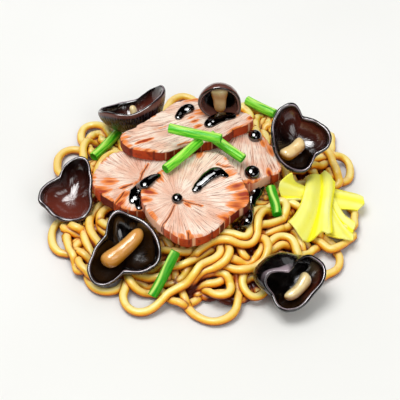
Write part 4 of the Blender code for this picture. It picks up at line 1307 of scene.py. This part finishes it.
# %% Omelette finish
egg = Finish("omelette", Roughness=0.6, Specular_IOR_Level=0.25,
             Subsurface_Weight=0.12, Subsurface_Radius=(0.004, 0.0035, 0.0008),
             Subsurface_Scale=1.0)
# painted light on the ridges, paler, and painted shade in the valleys, a deeper yellow
egg_base = egg.mix(egg.remap(egg.mark("valley"), 0.3, 0.66), colour("FFFF98"), colour("FFF600"))
egg_base = egg.mix(egg.remap(egg.noise(egg.spot, 45.0), 0.42, 0.62, 0.0, 0.45), egg_base,
                   colour("FFFA40"))
egg_base = egg.mix(egg.remap(egg.noise(egg.spot, 420.0), 0.62, 0.75, 0.0, 0.25), egg_base,
                   colour("F6DC3C"))
egg.skin(egg.spot, 380.0, 0.0004, 0.5, 0.7)
egg_finish = egg.done(egg_base)

# %% [markdown]
# ## The ribbons' lines
# Four ribbons lie in soft folds. Each is given by its centre line and its widths, by its folds, and
# by how its two ends are torn.

# %% Ribbon data
EGG_THICKNESS = 1.5 * MM
# centre line and widths as in the solids; folds as place across at both ends, width and height;
# then how far the first and the last edge reach beyond the solid, as place across and millimetres
EGG_RIBBONS = {
    "egg_back": (((73, 6), (85, 5), (99, 0)), (15, 22, 12),
                 ((-0.4, -0.5, 0.35, 1.2), (0.5, 0.6, 0.3, 1.5)),
                 ((-1, 0), (1, 0)), ((-1, 0), (0, 1), (1, -1))),
    "egg_left": (((68, 0), (60, -2), (51, -3)), (10, 12, 12),
                 ((0.0, -0.1, 0.35, 1.5), (0.8, 0.7, 0.25, -1.5)),
                 ((-1, 0), (1, 0)), ((-1, -6), (-0.3, 0), (0.2, 1.5), (1, 0))),
    "egg_right": (((78, 0), (81, -14), (88, -28)), (9, 14, 21),
                  ((-0.5, -0.2, 0.4, 2.0), (0.3, 0.55, 0.14, -2.2), (0.8, 0.85, 0.2, 0.8)),
                  ((-1, 0), (1, 0)),
                  ((-1, -6), (-0.5, 0), (0.25, 3.5), (0.55, -3), (0.85, -4), (1, -7))),
    "egg_front": (((74, 15), (75, -8), (64, -34)), (18, 14, 27),
                  ((-0.5, -0.45, 0.4, 2.2), (0.1, 0.25, 0.18, -2.6), (0.6, 0.8, 0.22, 2.6),
                   (-0.98, -0.98, 0.1, -1.5)),
                  ((-1, -3), (0.4, 4), (1, -2)),
                  ((-1, -4), (-0.5, -1), (0, 1), (0.2, -1), (0.55, -9), (0.85, -6), (1, -9))),
}
print("ribbons:", ", ".join(EGG_RIBBONS))

# %% [markdown]
# A ribbon's plan is a bent strip: a place across it and a place along it give x and y. The heights
# come from the top of the solid, read over the same plan.

# %% Plan and heights of a ribbon
EGG_BULGE = 0.15  # how far the middle of the lower end reaches past its corners, in widths
EGG_ROWS, EGG_COLUMNS = 21, 15
EGG_EASING = 4
ACROSS_READ, ALONG_START, ALONG_READ = 0.94, 0.02, 0.96  # heights are read just inside the edges


def quadratic(points, t):
    """A smooth curve with two ends and one pull between them."""
    p0, p1, p2 = points
    return (1 - t) ** 2 * p0 + 2 * t * (1 - t) * p1 + t * t * p2


def ribbon_plan(name, s, t):
    """x, y and the way ahead at places across (-1 to 1) and along (0 to 1) a ribbon."""
    knots, widths = EGG_RIBBONS[name][:2]
    xs = quadratic([k[0] for k in knots], t)
    ys = quadratic([k[1] for k in knots], t)
    ax = (1 - t) * (knots[1][0] - knots[0][0]) + t * (knots[2][0] - knots[1][0])
    ay = (1 - t) * (knots[1][1] - knots[0][1]) + t * (knots[2][1] - knots[1][1])
    length = np.hypot(ax, ay)
    ax, ay = ax / length, ay / length
    width = quadratic(widths, t)
    ahead = EGG_BULGE * width * t**2 * (1 - s**2)
    return ((xs - ay * width * s / 2 + ax * ahead) * MM,
            (ys + ax * width * s / 2 + ay * ahead) * MM, ax, ay)


def ribbon_heights(name):
    """Heights of a ribbon's middle on rows and columns."""
    top = np.zeros((EGG_ROWS, EGG_COLUMNS))
    for i in range(EGG_ROWS):
        for j in range(EGG_COLUMNS):
            across = np.array(ACROSS_READ * (2 * j / (EGG_COLUMNS - 1) - 1))
            far = np.array(ALONG_START + ALONG_READ * i / (EGG_ROWS - 1))
            px, py, _, _ = ribbon_plan(name, across, far)
            found = hit_height(cad_tree[name], float(px), float(py), False)
            top[i, j] = top[i, j - 1] if found is None else found
    return evened(top, EGG_EASING, False) - EGG_THICKNESS / 2


print("a ribbon's height is read at", EGG_ROWS * EGG_COLUMNS, "places")

# %% [markdown]
# ## Building a ribbon
# Each ribbon starts as a flat grid, is laid along its plan, gets its folds as soft ridges and
# valleys, and is then thickened and smoothed by two modifiers.

# %% Build the ribbons
GRID_ACROSS, GRID_ALONG = 54, 72
SWAY, SWAY_TURNS = 0.6 * MM, 7
FOLD_START, FOLD_GROW = 0.45, 0.55  # height of a fold at the first end, and what it gains
WOBBLE, WOBBLE_SIZE = 0.25 * MM, 7 * MM
VALLEY_EASING, VALLEY_DEPTH = 12, 1.1


def build_ribbon(name):
    """A folded ribbon of omelette over its solid's top."""
    _, _, folds, crown, hem = EGG_RIBBONS[name]
    bm = bmesh.new()
    bmesh.ops.create_grid(bm, x_segments=GRID_ACROSS, y_segments=GRID_ALONG, size=1)
    mesh = bpy.data.meshes.new(name)
    bm.to_mesh(mesh)
    bm.free()
    co = points_of(mesh)
    s, t = co[:, 0], (co[:, 1] + 1) / 2
    x, y, ax, ay = ribbon_plan(name, s, t)
    reach = np.interp(s, *zip(*hem)) * MM * t**2.5 - np.interp(s, *zip(*crown)) * MM * (1 - t) ** 4
    sway = SWAY * np.sin(t * SWAY_TURNS + s)
    x, y = x + ax * reach - ay * sway * s, y + ay * reach + ax * sway * s
    z = read_grid(ribbon_heights(name), t * (EGG_ROWS - 1), (s + 1) / 2 * (EGG_COLUMNS - 1))
    fold = np.interp(s, *zip(*crown)) * 0.5 * (1 - t) ** 4
    for first_s, last_s, width, stand in folds:
        line = first_s + (last_s - first_s) * t
        fold += stand * np.exp(-(((s - line) / width) ** 2)) * (FOLD_START + FOLD_GROW * t)
    z = z + (fold - 0.5) * MM + WOBBLE * uneven(np.stack((x, y, 0 * x), 1), WOBBLE_SIZE)
    place(mesh, np.stack((x, y, z), 1))
    # the valley mark is how far a spot lies below its evened folds; it drives the painted light and
    # shade
    bend = evened(fold.reshape(GRID_ALONG + 1, GRID_ACROSS + 1), VALLEY_EASING, False).ravel()
    paint(mesh, valley=np.clip(0.5 + (bend - fold) * VALLEY_DEPTH, 0, 1))
    thing = add_piece(name + "_ribbon", mesh, egg_finish, "omelette", name)
    wall = thing.modifiers.new("thickness", "SOLIDIFY")
    wall.thickness = EGG_THICKNESS
    wall.offset = 0
    soft = thing.modifiers.new("soft", "SUBSURF")
    soft.levels = soft.render_levels = 1


for name in EGG_RIBBONS:
    build_ribbon(name)

# %% [markdown]
# ## Wood ear finish
# The cups are nearly black and wet, warm brown in the lining where light falls in. The crest carries
# a pale line of painted highlight and the outside is finely ribbed and less glossy than the lining.

# %% Mushroom finish
ear = Finish("wood_ear", Roughness=0.2, Coat_Weight=0.8, Coat_Roughness=0.05)
ear_place = ear.mark("rib", vector=True)
ear_base = ear.mottle(ear.spot, 140.0, colour("030202"), colour("0C0606"), 0.4, 0.7)
warm = ear.remap(ear.mark("warm"), 0.1, 1.0, 0.0, 0.95)
ear_base = ear.mix(warm, ear_base, colour("7A3426"))
streaks = ear.remap(ear.noise(ear_place, 30.0, 2.0), 0.5, 0.75, 0.0, 0.18)
ear_base = ear.mix(streaks, ear_base, colour("3E2A26"))
ribs = ear.remap(ear.noise(ear_place, 55.0, 1.0), 0.54, 0.62, 0.0, 0.6)
ribs = ear.maths("MULTIPLY", ribs, ear.mark("outer"))
ear_base = ear.mix(ribs, ear_base, colour("5E5660"))
ear_base = ear.mix(ear.remap(ear.mark("band"), 0.0, 1.0, 0.0, 0.9), ear_base, colour("70443A"))
# painted highlight: a pale line along the crest, broader at the edge of the folded lobe
ear_base = ear.mix(ear.remap(ear.mark("line"), 0.1, 0.9, 0.0, 0.9), ear_base, colour("AE9AA2"))
coat = ear.remap(ear.mark("outer"), 0.0, 1.0, 0.8, 0.2)
ear.tree.links.new(coat, ear.shader.inputs["Coat Weight"])
ear.skin(ear.spot, 300.0, 0.0002, 0.14, 0.26)
ear_finish = ear.done(ear_base)

# %% [markdown]
# The plump stalks are pale on top with painted light and amber underneath with painted shade, and one
# of them is amber all over.

# %% Stalk finish
stalk = Finish("stalk", Roughness=0.25, Coat_Weight=0.4, Coat_Roughness=0.08)
# painted light and shade: pale where the stalk faces up, amber where it faces down
stalk_base = stalk.mix(stalk.remap(stalk.mark("crown"), -0.1, 0.75), colour("A4600E"),
                       colour("FFE8AC"))
stalk_base = stalk.mix(stalk.remap(stalk.mark("amber"), 0.0, 1.0, 0.0, 0.8), stalk_base,
                       colour("DC8A10"))
stalk_base = stalk.mix(stalk.remap(stalk.noise(stalk.spot, 190.0), 0.5, 0.75, 0.0, 0.4), stalk_base,
                       colour("D69236"))
stalk.skin(stalk.spot, 300.0, 0.0002, 0.15, 0.3)
stalk_finish = stalk.done(stalk_base)

# %% [markdown]
# ## The mushrooms' measures
# No two cups are alike. Each outline is a ring of marks with its reach, the lift of its lip and how
# far the wall curls there, so that lobes can stand up, lie open or fold over.

# %% Mushroom data
EAR_WALL = 2.4 * MM
# x, y, tilt, roll, depth, marks of direction, reach, lift and curl, stalk ends as x, y, z and
# radius, warmth of the lining (all over, extra, towards a direction), brown of the outside, amber
# of the stalk, its bow
WOOD_EARS = {
    "wood_ear_left": (-79, 1, 20, -8, 9, (
        (-3, 12, 1, 85), (40, 16, 3, 85), (66, 22, 4, 84), (95, 17, 3, 85), (122, 11, 1, 88),
        (190, 17, 2, 88), (216, 15, 0, 88), (273, 17, 0, 88), (303, 18, 1, 88)),
        None, (0.6, 0.5, 250), 0.7, 0, 0),
    "wood_ear_low": (-44, -49, 26, -4, 10, (
        (12, 19, 1, 88), (49, 19, 2, 86), (80, 20, 2, 86), (104, 23, 3, 84), (140, 14, 1, 88),
        (187, 18, 1, 90), (214, 24, 1, 84), (235, 24, 0, 84), (267, 12, 0, 90), (324, 18, 2, 88),
        (340, 20, 2, 88)),
        ((8.5, 13.5, 6, 4.6), (-12.5, -5.5, 6, 6.4)), (-0.2, 0.1, 140), 0.35, 1.0, -1.5),
    "wood_ear_corner": (53, -72, 24, 4, 9, (
        (20, 20, 2, 90), (46, 18, 3, 92), (75, 15.5, 5, 150), (101, 17, 6, 165), (143, 19, 6, 165),
        (169, 20, 4, 140), (216, 13, 0, 92), (250, 17, 0, 88), (271, 17, 0, 88), (327, 14, 1, 90)),
        ((10, 5, 4.5, 4.8), (-2, -9, 4, 3.4)), (-0.2, 0.9, -10), 0.0, 0.15, -2.0),
    "wood_ear_right": (60, 28, 36, 6, 9, (
        (6, 17, 4, 85), (37, 14, 2, 85), (80, 12, 0, 88), (99, 19, 3, 84), (118, 20, 3, 84),
        (142, 18, 2, 85), (184, 15, 1, 88), (230, 17, 0, 88), (278, 19, 0, 88), (314, 13, 1, 88),
        (346, 17, 3, 85)), ((2, -1, 4, 4.5), (-9.5, -10, 6, 4.8)), (0.25, 0.65, 60), 0.1, 0.35, -1.5),
    "wood_ear_back": (-42, 60, -28, 0, 13, (
        (0, 18, 12, 82), (28, 17, 12, 82), (90, 14, 1, 88), (180, 20, -2, 84), (215, 18, 0, 86),
        (270, 14, 0, 84), (325, 17, 8, 82)),
        ((1, 2, 0, 2.8), (-1, 6, 13, 2.6)), (0.5, 0.6, 20), 0.8, 0.0, 0.5),
    "wood_ear_top": (12, 59, 88, 0, 10, (
        (0, 11, 0, 84), (60, 10.5, 0, 84), (120, 10.5, 0, 84), (180, 11, 0, 84),
        (240, 10.5, 0, 84), (290, 11, 0, 84), (325, 12.5, 1, 80)),
        ((0, 4, 4, 6.4), (0.5, -9, 8, 3.2)), (0.0, 0.0, 0), 1.0, 0.0, 0.0),
}
print("mushrooms:", ", ".join(WOOD_EARS))

# %% [markdown]
# ## Form of a cup
# A point of the cup is found by bending its spoke from the middle upwards, by as much as the curl
# says. The same rule with a wall thickness gives the outside.

# %% Form of a cup


def ear_point(marks, depth, share, angle, wall=0.0):
    """A point of the cup's lining, or of its outside when wall is the thickness."""
    reach, lift, curl = [curve_at(marks, angle, column) for column in (1, 2, 3)]
    bend = share * np.radians(curl)
    outwards = reach * MM * np.sin(bend) / np.sin(np.radians(np.minimum(curl, 90)))
    rise = depth * MM * (1 - np.cos(bend)) / (1 - np.cos(np.radians(curl)))
    rise = rise + lift * MM * share**3 - wall * np.cos(bend)
    outwards = outwards + wall * np.sin(bend)
    return np.stack((outwards * np.cos(angle), outwards * np.sin(angle), rise), 1)


print("the walls are", round(EAR_WALL / MM, 1), "mm thick")

# %% [markdown]
# ## Building a stalk
# A stalk is a plump rod with round ends, a little thinner in its middle and slightly bowed. The one
# in the upright cup is flattened, as it flares where it was cut.

# %% Stalks
STALK_TIP = 0.3  # how far the rounded ends reach on, in radii
STALK_RINGS, STALK_SPOKES = 36, 48
STALK_WAIST = 0.12
STALK_SQUARE = 5  # higher is more like a rod, 2 is an egg
STALK_WOBBLE, STALK_WOBBLE_SIZE = 0.25 * MM, 5 * MM
FLAT_STALK = {"wood_ear_top": 0.5}  # its thickness beside its width


def build_stalk(name, ends, amber, bow, lean):
    """A stalk between two ends, leaning with its cup."""
    start, end = [np.array(point[:3]) * MM for point in ends]
    radius0, radius1 = [point[3] * MM for point in ends]
    axis = (end - start) / np.linalg.norm(end - start)
    start, end = start - axis * STALK_TIP * radius0, end + axis * STALK_TIP * radius1
    side = np.cross(axis, (0, 0, 1))
    side /= np.linalg.norm(side)
    over = np.cross(side, axis)
    mesh, ring, angle = globe(STALK_RINGS, STALK_SPOKES)
    t = (1 - np.cos(math.pi * ring / STALK_RINGS)) / 2
    size = (1 - np.abs(2 * t - 1) ** STALK_SQUARE) ** 0.5 * (radius0 + t * (radius1 - radius0))
    size = size * (1 - STALK_WAIST * np.sin(math.pi * t) ** 2)
    middle = start + t[:, None] * (end - start) + (bow * MM * 4 * t * (1 - t))[:, None] * side
    thick = size * FLAT_STALK.get(name, 1.0)
    co = middle + (size * np.cos(angle))[:, None] * side + (thick * np.sin(angle))[:, None] * over
    co += STALK_WOBBLE * uneven(co, STALK_WOBBLE_SIZE, 4.0)[:, None] * over
    co = (co @ np.array(lean.to_3x3()).T) + np.array(lean.translation)
    place(mesh, co)
    # crown, how far a point faces up, sets the painted light and shade; amber is the stalk's own
    # colour
    paint(mesh, amber=np.full(len(co), amber), crown=normals_of(mesh)[:, 2])
    add_piece(name + "_stalk", mesh, stalk_finish, "wood_ear", name)


print("rings and spokes of a stalk:", STALK_RINGS, STALK_SPOKES)

# %% [markdown]
# ## Building a cup
# The outside, the rounded crest and the lining are the rings of one globe, so the wall is closed.
# Ribs, ripples and a slow flow then move the skin a little, and the cup leans as its solid does.

# %% Build the mushrooms
OUT_RINGS, CREST_RINGS, EAR_SPOKES = 30, 8, 288
RING_SPREAD = 0.85  # below 1 the rings lie closer together near the lip
SMOOTH_EARS = ("wood_ear_corner", "wood_ear_top")
CALM = 0.4  # how much of the ripple smooth mushrooms have
RIB_COUNT, RIB_HEIGHT = 64, 0.10 * MM
RIPPLE, FLOW = 0.4 * MM, 0.06 * MM
FOLDED_EAR = "wood_ear_corner"
FOLD_TURN = math.radians(135)
SUNK = {"wood_ear_top": 3.0 * MM}  # pressed into the slice that it stands on
BROAD_LIP = "wood_ear_top"
LIP_START, BAND_START, LOBE_START = 0.91, 0.66, 0.92  # shares of the way from middle to lip
LINE_WIDTH = 0.8  # in rings


def ear_shape(name, ring, angle):
    """Points of a cup before it leans, and each point's share of the way to the lip."""
    depth, marks = WOOD_EARS[name][4:6]
    rings = 2 * OUT_RINGS + CREST_RINGS
    share = np.clip(np.minimum(ring, rings - ring) / OUT_RINGS, 0, 1)
    share = np.where((ring >= OUT_RINGS) & (ring <= rings - OUT_RINGS), 1.0, share) ** RING_SPREAD
    outside = ear_point(marks, depth, share, angle, EAR_WALL)
    lining = ear_point(marks, depth, share, angle)
    onward = ear_point(marks, depth, np.ones(len(ring)), angle) - ear_point(
        marks, depth, np.full(len(ring), 0.95), angle)
    onward /= np.linalg.norm(onward, axis=1)[:, None]
    swing = np.clip((ring - OUT_RINGS) / CREST_RINGS, 0, 1) * math.pi
    middle = (outside + lining) / 2
    rounded = np.sin(swing)[:, None] * onward * EAR_WALL / 2
    return middle + np.cos(swing)[:, None] * (outside - middle) + rounded, share


def ear_marks(name, ring, angle, share):
    """What the finish reads: warmth, the broad band, the pale line of painted highlight and what lies
    outside.
    """
    x = WOOD_EARS[name][0]
    base, extra, direction = WOOD_EARS[name][7]
    outside_tone = WOOD_EARS[name][8]
    rings = 2 * OUT_RINGS + CREST_RINGS
    spoke = np.stack((np.cos(angle), np.sin(angle), 0 * angle), 1)
    warm = base + extra * np.cos(angle - math.radians(direction)) * share
    warm *= 1 - 0.7 * np.clip((share - 0.75) / 0.2, 0, 1)
    broad = 1.0 if name == BROAD_LIP else 0.0
    crest = np.exp(-(((ring - rings / 2 - 1) / LINE_WIDTH) ** 2))
    crest *= np.clip(0.75 + 0.7 * uneven(spoke, 0.6, x), 0.2, 1)
    outer = np.clip((rings / 2 - 1 - ring) / 2, 0, 1)
    lip = np.maximum(np.clip((share - LIP_START) / 0.04, 0, 1), broad)
    band = np.clip((share - BAND_START) / 0.12, 0, 1) * broad * (ring > rings / 2)
    line = crest * (1 - 0.6 * broad)
    # a broad painted highlight along the edge of the folded lobe
    if name == FOLDED_EAR:
        off = (angle - FOLD_TURN + math.pi) % math.tau - math.pi
        lobe = np.clip((share - LOBE_START) / 0.03, 0, 1) * (ring < rings / 2 + 2)
        line = np.maximum(line, 0.8 * np.exp(-((off / 0.8) ** 2)) * lobe)
    return {"warm": np.clip(warm, 0, 1) * (ring > rings - OUT_RINGS),
            "band": band + outside_tone * lip * outer, "line": line,
            "outer": outer * (name not in SMOOTH_EARS),
            "rib": np.column_stack((spoke[:, :2], share * 0.15))}


def build_ear(name):
    """A lobed cup, and its stalk if it has one."""
    x, y, tilt, roll, _, _, stalk_ends, _, _, amber, bow = WOOD_EARS[name]
    rings = 2 * OUT_RINGS + CREST_RINGS
    mesh, ring, angle = globe(rings, EAR_SPOKES)
    co, share = ear_shape(name, ring, angle)
    place(mesh, co)

    way = normals_of(mesh)
    spoke = np.stack((np.cos(angle), np.sin(angle), 0 * angle), 1)
    is_lining = ring > rings - OUT_RINGS
    rib = np.sin(angle * RIB_COUNT + 3 * uneven(spoke, 0.5, 1.0)) * RIB_HEIGHT * (ring < OUT_RINGS)
    if name in SMOOTH_EARS:
        rib *= 0.0
    calm = CALM if name in SMOOTH_EARS else 1.0
    ripple = calm * RIPPLE * uneven(np.column_stack((spoke[:, :2], share * 0.5)), 0.3, x) * share
    flow = calm * FLOW * uneven(np.column_stack((spoke[:, :2], share * 0.1)), 0.05, y)
    co = co + way * (rib + ripple * np.where(is_lining, 1, -1) + flow * is_lining)[:, None]
    lean = Matrix.Rotation(math.radians(tilt), 4, "X") @ Matrix.Rotation(math.radians(roll), 4, "Y")
    co = co @ np.array(lean.to_3x3()).T + (x * MM, y * MM, 0)
    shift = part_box(name)[0].z - co[:, 2].min() - SUNK.get(name, 0)
    co[:, 2] += shift
    place(mesh, co)
    paint(mesh, **ear_marks(name, ring, angle, share))
    add_piece(name + "_cup", mesh, ear_finish, "wood_ear", name)
    if stalk_ends:
        lean.translation = (x * MM, y * MM, shift)
        build_stalk(name, stalk_ends, amber, bow, lean)


for name in WOOD_EARS:
    build_ear(name)

# %% [markdown]
# ## Oil finish
# Black garlic oil is almost black and mirror-smooth, so it shows little but its highlights.

# %% Oil finish
oil = Finish("garlic_oil", Roughness=0.04, Specular_IOR_Level=1.0, Coat_Weight=1.0,
             Coat_Roughness=0.02)
oil_base = oil.mottle(oil.spot, 200.0, colour("020101"), colour("0C0403"), 0.5, 0.8)
oil.skin(oil.spot, 150.0, 0.0001, 0.03, 0.08)
oil_finish = oil.done(oil_base)

# %% [markdown]
# ## Drops and runs of oil
# The oil is thick enough to stand up in round beads. Each drop or run is a chain of knots, set down
# where it is seen: on a slice, beside one, or over the noodles in front.

# %% Oil data
# sheet, height beside radius, then a chain of x, y and radius in millimetres
OIL = (
    ("BL", 0.6, ((1375, 430, 2.7), (1402, 390, 3.1), (1432, 368, 3.8), (1470, 352, 4.1))),
    ("BR", 0.6, ((85, 495, 3.8), (125, 465, 4.7), (180, 442, 4.5), (235, 428, 3.8), (290, 420, 3.0))),
    ("BR", 0.85, ((490, 605, 4.4),)),
    ("BR", 0.85, ((465, 935, 5.0),)),
    ("FL", 0.85, ((1362, 85, 3.6),)),
    ("BL", 0.5, ((1520, 1080, 2.2), (1550, 1056, 2.8))),
    ("BR", 0.5, ((-25, 1050, 2.8), (20, 1010, 3.4), (70, 962, 4.0), (130, 925, 4.2), (170, 915, 3.2),
                 (205, 932, 2.3), (245, 952, 1.5))),
    ("BL", 0.6, ((1205, 944, 1.4), (1150, 970, 2.6), (1110, 1000, 3.4), (1060, 1045, 4.1),
                 (1015, 1090, 4.2), (985, 1150, 3.8))),
    ("FL", 0.5, ((1000, 20, 4.2), (985, 60, 3.8), (965, 105, 2.6))),
    ("FL", 0.5, ((1000, 60, 3.6), (1020, 110, 3.2), (1025, 165, 2.2))),
    ("BR", 0.5, ((560, 1045, 1.8), (520, 1085, 3.2), (480, 1130, 3.4))),
    ("FR", 0.7, ((480, 20, 4.0), (510, 50, 3.8), (465, 75, 3.4), (455, 130, 2.8), (458, 165, 2.6),
                 (450, 205, 2.7), (442, 255, 3.0), (428, 305, 3.5), (390, 345, 3.8), (350, 352, 3.6),
                 (315, 330, 3.0))),
)
print(len(OIL), "drops and runs")

# %% [markdown]
# ## Building the oil
# Flattened balls close together along each chain are melted into one skin by a remesh and then
# smoothed. A ball shares its place with its neighbours, so a run flows evenly over what is below.

# %% Build the oil
CHAIN_STEP = 12  # sheet units between the balls of a chain
OVER_NOODLES = (3, 0.9)  # neighbours to each side that share a ball's place, and how far it is lifted
OVER_MEAT = (1, 0.35)
BALL_DETAIL = 3
UPWARDS = Vector((0, 0, 1.5))  # drops stand up rather than lean with what carries them
MELT_SIZE = 0.35 * MM
MELT_SMOOTH, MELT_ROUNDS = 0.5, 12

carriers = [tree_of(thing.data) for thing in [*slices, *noodle_pieces, core]]
bm = bmesh.new()


def chain_of(knots):
    """Balls close together along a chain of knots."""
    yield knots[0]
    for (x0, y0, r0), (x1, y1, r1) in zip(knots, knots[1:]):
        count = math.ceil(math.hypot(x1 - x0, y1 - y0) / CHAIN_STEP)
        for k in range(1, count + 1):
            t = k / count
            yield x0 + t * (x1 - x0), y0 + t * (y1 - y0), r0 + t * (r1 - r0)


def landing(sheet, px, py):
    """The first surface on the line of sight through a sheet's point."""
    way = sight(sheet, px, py).normalized()
    hits = [hit for hit in (tree.ray_cast(eye, way) for tree in carriers) if hit[0] is not None]
    return min(hits, key=lambda hit: hit[3])[:2]


for sheet, tall, knots in OIL:
    balls = [(*landing(sheet, px, py), radius) for px, py, radius in chain_of(knots)]
    even_over, rise = OVER_NOODLES if sheet == "FR" else OVER_MEAT
    for k, (point, normal, radius) in enumerate(balls):
        near = balls[max(0, k - even_over):k + even_over + 1]
        point = sum((ball[0] for ball in near), Vector()) / len(near)
        up = (normal + UPWARDS).normalized()
        size = Matrix.Diagonal((radius * MM, radius * MM, radius * tall * MM, 1))
        turn = up.to_track_quat("Z", "Y").to_matrix().to_4x4()
        lift = up * radius * tall * MM * rise
        bmesh.ops.create_icosphere(bm, subdivisions=BALL_DETAIL, radius=1,
                                   matrix=Matrix.Translation(point + lift) @ turn @ size)
mesh = bpy.data.meshes.new("oil")
bm.to_mesh(mesh)
bm.free()
melted = bpy.data.objects.new("melted", mesh)
bpy.context.scene.collection.objects.link(melted)
remesh = melted.modifiers.new("remesh", "REMESH")
remesh.mode = "VOXEL"
remesh.voxel_size = MELT_SIZE
smooth = melted.modifiers.new("smooth", "SMOOTH")
smooth.factor = MELT_SMOOTH
smooth.iterations = MELT_ROUNDS
bpy.context.view_layer.update()
mesh = bpy.data.meshes.new_from_object(melted.evaluated_get(bpy.context.evaluated_depsgraph_get()))
bpy.data.objects.remove(melted)
add_piece("garlic_oil", mesh, oil_finish, "garlic_oil", *PORK_SLICES, "noodles")

# %% [markdown]
# ## The table
# The food lies on a pale bare surface, with only the faintest clouds of tone in it.

# %% Table
TABLE_HALF = 3
floor = Finish("table", Roughness=0.9)
floor_finish = floor.done(floor.mottle(floor.spot, 3.0, colour("F2F2EF"), colour("EEEEEA")))
bm = bmesh.new()
bmesh.ops.create_grid(bm, x_segments=1, y_segments=1, size=TABLE_HALF)
mesh = bpy.data.meshes.new("table")
bm.to_mesh(mesh)
bm.free()
mesh.materials.append(floor_finish)
table = bpy.data.objects.new("table", mesh)
bpy.context.scene.collection.objects.link(table)
print("the table is", 2 * TABLE_HALF, "m wide")

# %% [markdown]
# ## Light
# Soft boxes light the food from above. One of them is seen only in gloss, which gives the oil and
# the mushrooms their highlights without paling the rest. A dim even sky fills the shadows.

# %% Lights
# name, place, width in metres, power in watts
LIGHTS = (
    ("key", (-0.5, 0.05, 2.1), 1.4, 30.0),
    ("fill", (0.7, -1.5, 1.3), 1.0, 8.0),
    ("back", (0.3, 1.7, 1.5), 1.0, 2.0),
    ("sparkle", (-0.5, -0.5, 1.8), 1.1, 36.0),
)
ONLY_GLOSS = "sparkle"
SKY_LIGHT = 0.4
for name, spot, size, power in LIGHTS:
    lamp = bpy.data.lights.new(name, "AREA")
    lamp.shape = "DISK"
    lamp.size = size
    lamp.energy = power
    thing = bpy.data.objects.new(name, lamp)
    thing.location = spot
    thing.rotation_euler = (-Vector(spot)).to_track_quat("-Z", "Y").to_euler()
    thing.visible_diffuse = name != ONLY_GLOSS
    bpy.context.scene.collection.objects.link(thing)

world = bpy.data.worlds.new("sky")
bpy.context.scene.world = world
world.use_nodes = True
world.node_tree.nodes["Background"].inputs["Color"].default_value = (1, 1, 1, 1)
world.node_tree.nodes["Background"].inputs["Strength"].default_value = SKY_LIGHT
world.cycles_visibility.glossy = False
bpy.context.scene.view_settings.view_transform = "Standard"
print(len(LIGHTS), "lights")

# %% [markdown]
